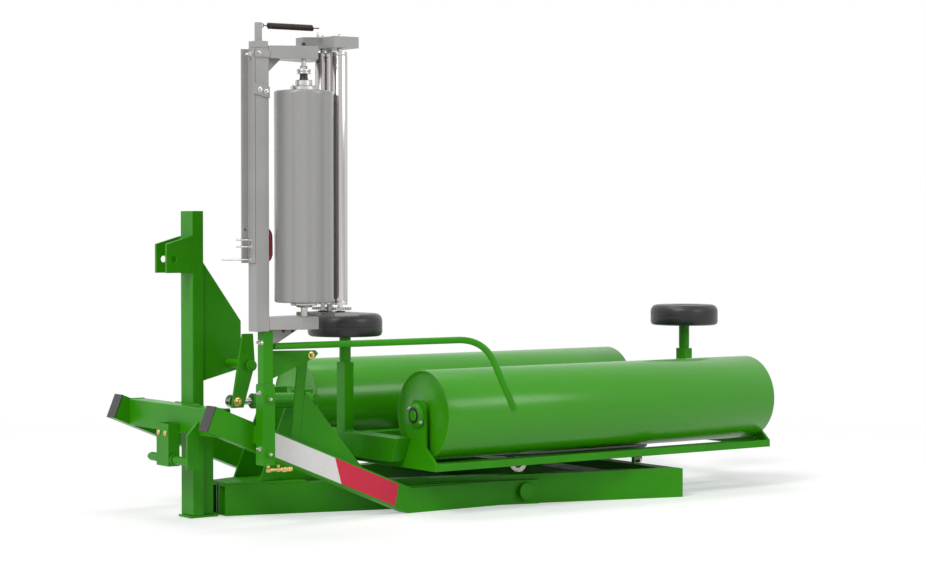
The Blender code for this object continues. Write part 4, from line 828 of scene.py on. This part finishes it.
def build_arm_details():
    """Clamp plates, bolts, gusset and bearing studs on the dispenser's arms and column."""
    column_low, column_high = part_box("dispenser_column")
    side = column_high.x
    work = bmesh.new()
    plate(work, [(column_low.y - 0.006, 1.655), (column_high.y + 0.002, 1.655), (column_high.y + 0.002, 1.676),
                 (column_low.y + 0.006, 1.682), (column_low.y - 0.006, 1.676)], "x", side + 0.0003, side + 0.0055)
    plate(work, [(column_low.y - 0.010, 1.567), (column_high.y + 0.001, 1.552), (column_high.y + 0.001, 1.512),
                 (column_low.y - 0.010, 1.527)], "x", side + 0.0003, side + 0.0055)
    piece("column_clamp_plates", work, "grey", "hitch_frame", bevel=0.0010)
    work = bmesh.new()
    flange = COLUMN_FLANGE
    block(work, (column_low.x + 0.001, column_low.y - flange, 0.935), (column_low.x + 0.007, column_low.y - 0.0004, 1.684))
    block(work, (column_low.x + 0.0075, column_low.y - 0.0064, 0.935), (column_high.x - 0.004, column_low.y - 0.0004, 1.684))
    piece("column_flange", work, "grey", "hitch_frame", bevel=0.0012, clean=False)
    work = bmesh.new()
    turned(work, [(0, 0), (0.0032, 0), (0.0032, 0.0016), (0.0022, 0.0026), (0, 0.0026)],
           (column_low.x + 0.007, column_low.y - flange * 0.6, 1.052), X, 16)
    piece("column_flange_rivet", work, "dark", "hitch_frame")
    anchor = middle("dispenser_column").x
    work = bmesh.new()
    for side_x in (-1, 1):
        inner, outer = anchor + side_x * 0.0104, anchor + side_x * 0.0265
        block(work, (min(inner, outer), column_low.y + 0.002, 1.6874), (max(inner, outer), column_high.y - 0.002, 1.7120))
    for side_y in (0, 1):
        edge = column_low.y + 0.002 if side_y == 0 else middle("dispenser_column").y + 0.0104
        other = middle("dispenser_column").y - 0.0104 if side_y == 0 else column_high.y - 0.002
        block(work, (anchor - 0.0103, edge, 1.6874), (anchor + 0.0103, other, 1.7120))
    piece("column_cap_block", work, "grey", "hitch_frame", bevel=0.0014, clean=False)
    work = bmesh.new()
    for y, z, size in ((column_low.y + 0.009, 1.668, 0.0050), (column_low.y + 0.013, 1.541, 0.0062),
                       (column_high.y - 0.014, 1.534, 0.0062)):
        bolt(work, (side + 0.0055, y, z), X, size, stud=0.002)
    piece("column_clamp_bolts", work, "zinc", "hitch_frame")
    work = bmesh.new()
    bolt(work, (column_high.x - 0.020, column_low.y - 0.0064, 1.664), -Y, 0.0085, stud=0.012)
    piece("column_front_bolt", work, "zinc", "hitch_frame")
    arm_low, arm_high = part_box("top_arm")
    work = bmesh.new()
    plate(work, [(column_high.y + 0.0006, arm_low.z - 0.0005), (column_high.y + 0.062, arm_low.z - 0.0005),
                 (column_high.y + 0.0006, arm_low.z - 0.058)], "x", 0.419, 0.427)
    piece("top_arm_gusset", work, "grey", "hitch_frame", bevel=0.0010)
    arm_low, arm_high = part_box("bottom_arm")
    work = bmesh.new()
    plate(work, [(column_high.y + 0.0006, arm_low.z - 0.0005), (0.215, arm_low.z - 0.0005),
                 (column_high.y + 0.0006, arm_low.z - 0.075)], "x", 0.419, 0.427)
    piece("bottom_arm_gusset", work, "grey", "hitch_frame", bevel=0.0010)
    work = bmesh.new()
    for y in (0.140, 0.177):
        bolt(work, (0.446, y, arm_low.z), -Z, 0.0062, stud=0.004)
    piece("bottom_arm_bolts", work, "dark", "hitch_frame")
    top = high("top_arm").z
    work = bmesh.new()
    bolt(work, (FILM_AXIS.x, FILM_AXIS.y, top), Z, 0.0085, stud=0.004)
    piece("top_arm_bolt", work, "dark", "hitch_frame")
    lid = high("carriage_frame").z
    work = bmesh.new()
    for tag in ("front", "rear"):
        spot = middle(f"stretch_roller_{tag}")
        bolt(work, (spot.x, spot.y, lid), Z, 0.0068, stud=0.005)
    bolt(work, (high("carriage_spring").x - 0.012, high("carriage_spring").y - 0.006, lid), Z, 0.0050, stud=0.010)
    piece("carriage_lid_bolts", work, "zinc", "carriage")
    work = bmesh.new()
    for tag in ("front", "rear"):
        spot = middle(f"stretch_roller_{tag}")
        profile = [(0.0105, 0.757 + 0.0005), (0.0180, 0.757 + 0.0005), (0.0180, 0.761), (0.0105, 0.761)]
        turned(work, profile, (spot.x, spot.y, 0), Z, 32)
    piece("carriage_bearings", work, "dark", "carriage")


def build_handle():
    """Red lever behind the column, a bent bar with a thicker grip."""
    box_low, box_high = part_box("film_handle")
    x = middle("film_handle").x
    back = box_low.y + 0.002
    tip = box_high.y - 0.0075
    path = [(x, back, box_low.z + 0.008), (x, tip, box_low.z + 0.020), (x, tip, middle("film_handle").z),
            (x, tip - 0.001, box_high.z - 0.022), (x, back + 0.006, box_high.z - 0.007)]
    smooth = rounded(path, 0.012, 5)
    radii = [0.0052 if k < 6 else 0.0072 for k in range(len(smooth))]
    work = bmesh.new()
    swept(work, smooth, 0.007, 16, radii)
    piece("film_lever", work, "red", "hitch_frame", "film_handle", sharp=60)
    work = bmesh.new()
    turned(work, [(0, box_low.y - 0.0002), (0.0082, box_low.y - 0.0002), (0.0082, box_low.y + 0.0030),
                  (0, box_low.y + 0.0030)], (x, 0, box_low.z + 0.010), Y, 24)
    piece("film_lever_washer", work, "zinc", "hitch_frame")


def build_guard_rail():
    """Smooth bent rail from the post towards the near roller."""
    radius = 0.0119
    start = Vector((0.424, 0.112, 0.640))
    corner, tip = Vector((0.800, 0.760, 0.662)), Vector((0.858, 0.852, 0.4062))
    path = [start, start + Y * 0.014]
    back, down = (start - corner).normalized() * 0.095, (tip - corner).normalized() * 0.095
    for k in range(21):
        t = k / 20
        path.append((corner + back) * (1 - t) ** 2 + corner * 2 * t * (1 - t) + (corner + down) * t ** 2)
    drop = (tip - corner).normalized()
    path += [tip - drop * 0.004, tip]
    radii = [radius] * (len(path) - 1) + [radius * 0.72]
    work = bmesh.new()
    swept(work, path, radius, 24, radii)
    piece("guard_rail_bar", work, "green", "hitch_frame", "guard_rail", sharp=60)
    work = bmesh.new()
    loop = []
    for k in range(17):
        angle = 2 * math.pi * k / 16
        loop.append((start.x + math.cos(angle) * 0.0125, high("post_inner").y + 0.0012,
                     start.z + math.sin(angle) * 0.0125))
    for k in range(16):
        bead(work, loop[k], loop[k + 1], 0.0028, k)
    piece("guard_rail_weld", work, "weld", "hitch_frame")


def build_post_details():
    """Clamp bolts on the sleeve, fittings under it, and the thin rods in front of the column."""
    sleeve_low, sleeve_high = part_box("post_sleeve")
    work = bmesh.new()
    for z in (0.262, 0.456):
        turned(work, rounded([(0, 0), (0.0125, 0), (0.0125, 0.006), (0, 0.006)], 0.001, 2),
               (sleeve_high.x - 0.0002, middle("post_sleeve").y, z), X, 28)
    piece("post_sleeve_bosses", work, "green", "hitch_frame")
    work = bmesh.new()
    for z in (0.262, 0.456):
        bolt(work, (sleeve_high.x + 0.0058, middle("post_sleeve").y, z), X, 0.0068, washer=False, stud=0.006)
        bolt(work, (middle("post_sleeve").x + 0.004, sleeve_low.y, z + 0.02), -Y, 0.0064, stud=0.007)
    piece("post_sleeve_bolts", work, "zinc", "hitch_frame")
    work = bmesh.new()
    for x in (0.413, 0.436):
        bolt(work, (x, low("post_inner").y, 0.655), -Y, 0.0058, stud=0.004)
    piece("post_inner_bolts", work, "zinc", "hitch_frame")
    work = bmesh.new()
    rim = sleeve_high.z + 0.0010
    corners = [(sleeve_low.x + 0.002, sleeve_low.y + 0.002), (sleeve_high.x - 0.002, sleeve_low.y + 0.002),
               (sleeve_high.x - 0.002, sleeve_high.y - 0.002), (sleeve_low.x + 0.002, sleeve_high.y - 0.002)]
    for k in range(4):
        bead(work, (*corners[k], rim), (*corners[(k + 1) % 4], rim), 0.0022, k)
    piece("post_sleeve_rim", work, "weld", "hitch_frame")
    work = bmesh.new()
    front = low("dispenser_column").y
    for z, reach, x in ((0.947, 0.122, 0.424), (1.016, 0.064, 0.424), (0.992, 0.064, 0.424)):
        swept(work, [(x, front - 0.0060, z), (x, front - reach, z)], 0.0030, 12)
        bolt(work, (x, front - 0.0064, z), -Y, 0.0056)
    piece("column_rods", work, "axle", "hitch_frame")
    work = bmesh.new()
    base = sleeve_low.z
    for y, size in ((0.091, 0.0090), (0.132, 0.0080)):
        turned(work, [(0, 0), (size, 0), (size, 0.012), (size * 0.7, 0.014), (size * 0.7, 0.024), (0, 0.024)],
               (0.4235, y, base - 0.026), Z, 6, 0.3)
    swept(work, [(0.4235, 0.091, base - 0.018), (0.4235, 0.182, base - 0.020)], 0.0058, 16)
    hexagon(work, (0.4235, 0, base - 0.020), Y, 0.0100, 0.150, 0.164)
    hexagon(work, (0.4235, 0, base - 0.020), Y, 0.0085, 0.170, 0.188)
    piece("hydraulic_fittings", work, "brass", "hitch_frame")


def tube_point(y, share):
    """A point on the near tube's outer face: share is -1 at its lower edge and 1 at its upper edge."""
    centre = TUBE_HALF + (TUBE_BEND_Y - y) * math.tan(TUBE_SLOPE)
    return (y, centre + share * TUBE_HALF / math.cos(TUBE_SLOPE))


def build_band():
    """Blank white and red band on the near side tube."""
    face = TUBE_X[1]
    white = [tube_point(0.131, -0.84), tube_point(0.424, -0.84), tube_point(0.397, 0.88), tube_point(0.131, 0.88)]
    red = [tube_point(0.4245, -0.84), tube_point(0.660, -0.84), tube_point(0.676, 0.88), tube_point(0.3975, 0.88)]
    for name, outline, look in (("band_white", white, "white_band"), ("band_red", red, "red_band")):
        work = bmesh.new()
        plate(work, outline, "x", face + 0.0001, face + 0.0005)
        piece(name, work, look, "hitch_frame")


def build_tube_details():
    """Black plugs painted as the shade inside the side tubes' open front ends, and the tilt pivot's boss."""
    for tag, sign in (("near", 1), ("far", -1)):
        front = Vector((sign * (TUBE_X[0] + TUBE_X[1]) / 2, -0.115, TUBE_HALF + 0.841 * math.tan(TUBE_SLOPE)))
        along = Vector((0, math.cos(TUBE_SLOPE), -math.sin(TUBE_SLOPE)))
        across = Vector((0, math.sin(TUBE_SLOPE), math.cos(TUBE_SLOPE)))
        # A black plug in each open tube end, with a deeper dish, is painted shade for the dark inside of the hollow
        # tube.
        work = bmesh.new()
        made = bmesh.ops.create_cube(work, size=1.0)["verts"]
        bmesh.ops.scale(work, vec=(0.0630, 0.0050, 0.0936), verts=made)
        turn = Matrix((X, along, across)).transposed().to_4x4()
        spot = Matrix.Translation(front + along * 0.0022) @ turn
        bmesh.ops.transform(work, matrix=spot, verts=made)
        dish = bmesh.ops.create_cube(work, size=1.0)["verts"]
        bmesh.ops.scale(work, vec=(0.0492, 0.014, 0.0798), verts=dish)
        bmesh.ops.transform(work, matrix=Matrix.Translation(front + along * 0.0068) @ turn, verts=dish)
        piece(f"tube_end_shade_plug_{tag}", work, "plug", "hitch_frame", bevel=0.0016, clean=False)
    for tag, sign in (("near", 1), ("far", -1)):
        x = sign * (TILT_PIN[0] - 0.0075)
        work = bmesh.new()
        ring = [(0.0262, 0), (0.0335, 0), (0.0335, 0.0045), (0.0315, 0.0062), (0.0262, 0.0062)]
        turned(work, rounded(ring, 0.001, 2), (x, TILT_PIN[1], TILT_PIN[2]), X * sign, 48)
        piece(f"tilt_boss_{tag}", work, "green", "hitch_frame")


def build_hitch_details():
    """Pins, collars, bushes, welds and the round cross shaft between the mast and the near tube."""
    bar = middle("link_bar")
    work = bmesh.new()
    ends = (low("link_bar").x, high("link_bar").x)
    turned(work, rounded([(0, ends[0] + 0.016), (0.0085, ends[0]), (0.0110, ends[0] + 0.0005),
                          (0.0158, ends[0] + 0.018), (0.0158, ends[1]), (0, ends[1])], 0.002, 3),
           (0, bar.y, bar.z), X, 40)
    piece("link_bar_rod", work, "green", "hitch_frame", "link_bar")
    hanger_low, hanger_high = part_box("link_hanger")
    work = bmesh.new()
    for start, size in ((hanger_low.x - 0.0125, 0.0220), (hanger_high.x + 0.0035, 0.0220)):
        turned(work, rounded([(0.0162, start), (size, start), (size, start + 0.009), (0.0162, start + 0.009)],
                             0.0012, 2), (0, bar.y, bar.z), X, 40)
    piece("link_bar_collars", work, "green", "hitch_frame")
    work = bmesh.new()
    for x in (hanger_low.x + 0.020, hanger_high.x - 0.020):
        turned(work, rounded([(0, 0), (0.0105, 0), (0.0105, 0.0035), (0.0080, 0.0060), (0, 0.0060)], 0.001, 2),
               (x, hanger_low.y, hanger_high.z - 0.034), -Y, 28)
    piece("hanger_pins", work, "brass", "hitch_frame")
    bar_low, bar_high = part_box("crossbar")
    work = bmesh.new()
    for sign in (-1, 1):
        for z in (bar_low.z, bar_high.z):
            bead(work, (sign * 0.0460, bar_high.y + 0.001, z), (sign * 0.0900, bar_high.y + 0.001, z), 0.0028, 2)
        bead(work, (sign * (bar_high.x - 0.0005), bar_low.y + 0.004, bar_high.z),
             (sign * (bar_high.x - 0.0005), bar_high.y - 0.004, bar_high.z), 0.0028, 5)
    piece("crossbar_welds", work, "weld", "hitch_frame")
    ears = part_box("top_link_ears")
    work = bmesh.new()
    for sign in (-1, 1):
        for inset in (0.001,):
            x = sign * (ears[1].x - inset)
            turned(work, rounded([(0.0135, 0), (0.0205, 0), (0.0205, 0.0012), (0.0135, 0.0012)], 0.0004, 1),
                   (x, -0.075, 0.945), X * sign, 40)
    piece("top_link_bushes", work, "green", "hitch_frame")
    work = bmesh.new()
    for tag in ("near", "far"):
        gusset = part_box(f"mast_gusset_{tag}")
        x = (gusset[0].x + gusset[1].x) / 2
        bead(work, (x, gusset[0].y + 0.0006, gusset[0].z + 0.02), (x, gusset[0].y + 0.0006, gusset[1].z - 0.02),
             0.0050, 9)
    piece("gusset_welds", work, "weld", "hitch_frame")
    work = bmesh.new()
    swept(work, [(-0.064, 0.150, 0.560), (0.219, 0.150, 0.560)], 0.0120, 24)
    piece("cross_shaft", work, "green", "hitch_frame", sharp=50)
    work = bmesh.new()
    for x, sign in ((-0.060, -1), (0.206, 1)):
        turned(work, rounded([(0.0124, 0), (0.0200, 0), (0.0200, 0.007), (0.0124, 0.007)], 0.001, 2),
               (x, 0.150, 0.560), X * sign, 36)
    piece("cross_shaft_collars", work, "green", "hitch_frame")


def build_post_brace():
    """Triangular plate behind the post, the flat bar under it and the gusset along the side tube."""
    back = high("post_inner").y + 0.0006
    work = bmesh.new()
    plate(work, [(back, 0.516), (back, 0.624), (0.300, 0.620), (0.312, 0.608), (0.300, 0.594)], "x", 0.398, 0.404)
    piece("post_brace_plate", work, "green", "hitch_frame", bevel=0.0012)
    tube_top = tube_point(0.229, 1.0)[1]
    work = bmesh.new()
    plate(work, [(0.229, tube_top + 0.0006), (0.263, tube_point(0.263, 1.0)[1] + 0.0006), (0.302, 0.596),
                 (0.298, 0.606), (0.266, 0.606), (0.260, 0.594)], "x", 0.344, 0.352)
    piece("post_brace_bar", work, "green", "hitch_frame", bevel=0.0012)
    work = bmesh.new()
    swept(work, [(0.352, 0.281, 0.598), (0.398, 0.281, 0.602)], 0.0085, 20)
    bolt(work, (0.404, 0.281, 0.602), X, 0.0088, stud=0.004)
    piece("post_brace_bolt", work, "brass", "hitch_frame")
    work = bmesh.new()
    plate(work, [(0.2632, tube_point(0.2632, 1.0)[1] + 0.0006), (0.534, tube_point(0.534, 1.0)[1] + 0.0006),
                 (0.530, tube_point(0.530, 1.0)[1] + 0.010), (0.289, 0.470), (0.2865, 0.462)], "x", 0.3445, 0.3505)
    piece("tube_gusset", work, "green", "hitch_frame", bevel=0.0010)
    work = bmesh.new()
    bead(work, (0.3515, 0.300, tube_point(0.300, 1.0)[1] + 0.001), (0.3515, 0.520, tube_point(0.520, 1.0)[1] + 0.001),
         0.0032, 4)
    piece("tube_gusset_weld", work, "weld", "hitch_frame")
    work = bmesh.new()
    bolt(work, (high("cylinder_strut").x, 0.100, 0.430), X, 0.0105, stud=0.004)
    piece("strut_bolt", work, "brass", "hitch_frame")


def build_floor_details():
    """Weld runs, end plugs and the knob of the floor frame."""
    for tag, sign in (("near", 1), ("far", -1)):
        work = bmesh.new()
        spots = ((0.30, 0.36), (0.52, 0.60), (0.80, 0.88), (1.66, 1.74))
        slope = (high("floor_beam_near").x - 0.058) / (high("floor_beam_near").y - 0.127)
        for start, end in spots:
            place = [(sign * (0.058 + slope * (y - 0.127) - 0.004), y, 0.1128) for y in (start, end)]
            bead(work, *place, 0.0024, int(start * 100))
        piece(f"floor_beam_weld_{tag}", work, "weld", "floor_frame")
    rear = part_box("rear_cross_member")
    for tag, sign in (("near", 1), ("far", -1)):
        work = bmesh.new()
        x = sign * (rear[1].x - 0.030)
        turned(work, rounded([(0, 0), (0.0105, 0), (0.0105, 0.0035), (0.0060, 0.0050), (0, 0.0050)], 0.001, 2),
               (x, rear[1].y - 0.0049, 0.060), Y, 28)
        piece(f"rear_knob_{tag}", work, "plug", "floor_frame")


build_camera()
build_world()
build_lamps()
build_floor()
build_dressed()
build_main_rollers()
build_roller_bearings()
build_guide_wheels()
build_support_wheels()
build_table_details()
build_film_roll()
build_cones()
build_stretch_rollers()
build_spring()
build_arm_details()
build_handle()
build_guard_rail()
build_post_details()
build_band()
build_tube_details()
build_hitch_details()
build_post_brace()
build_floor_details()
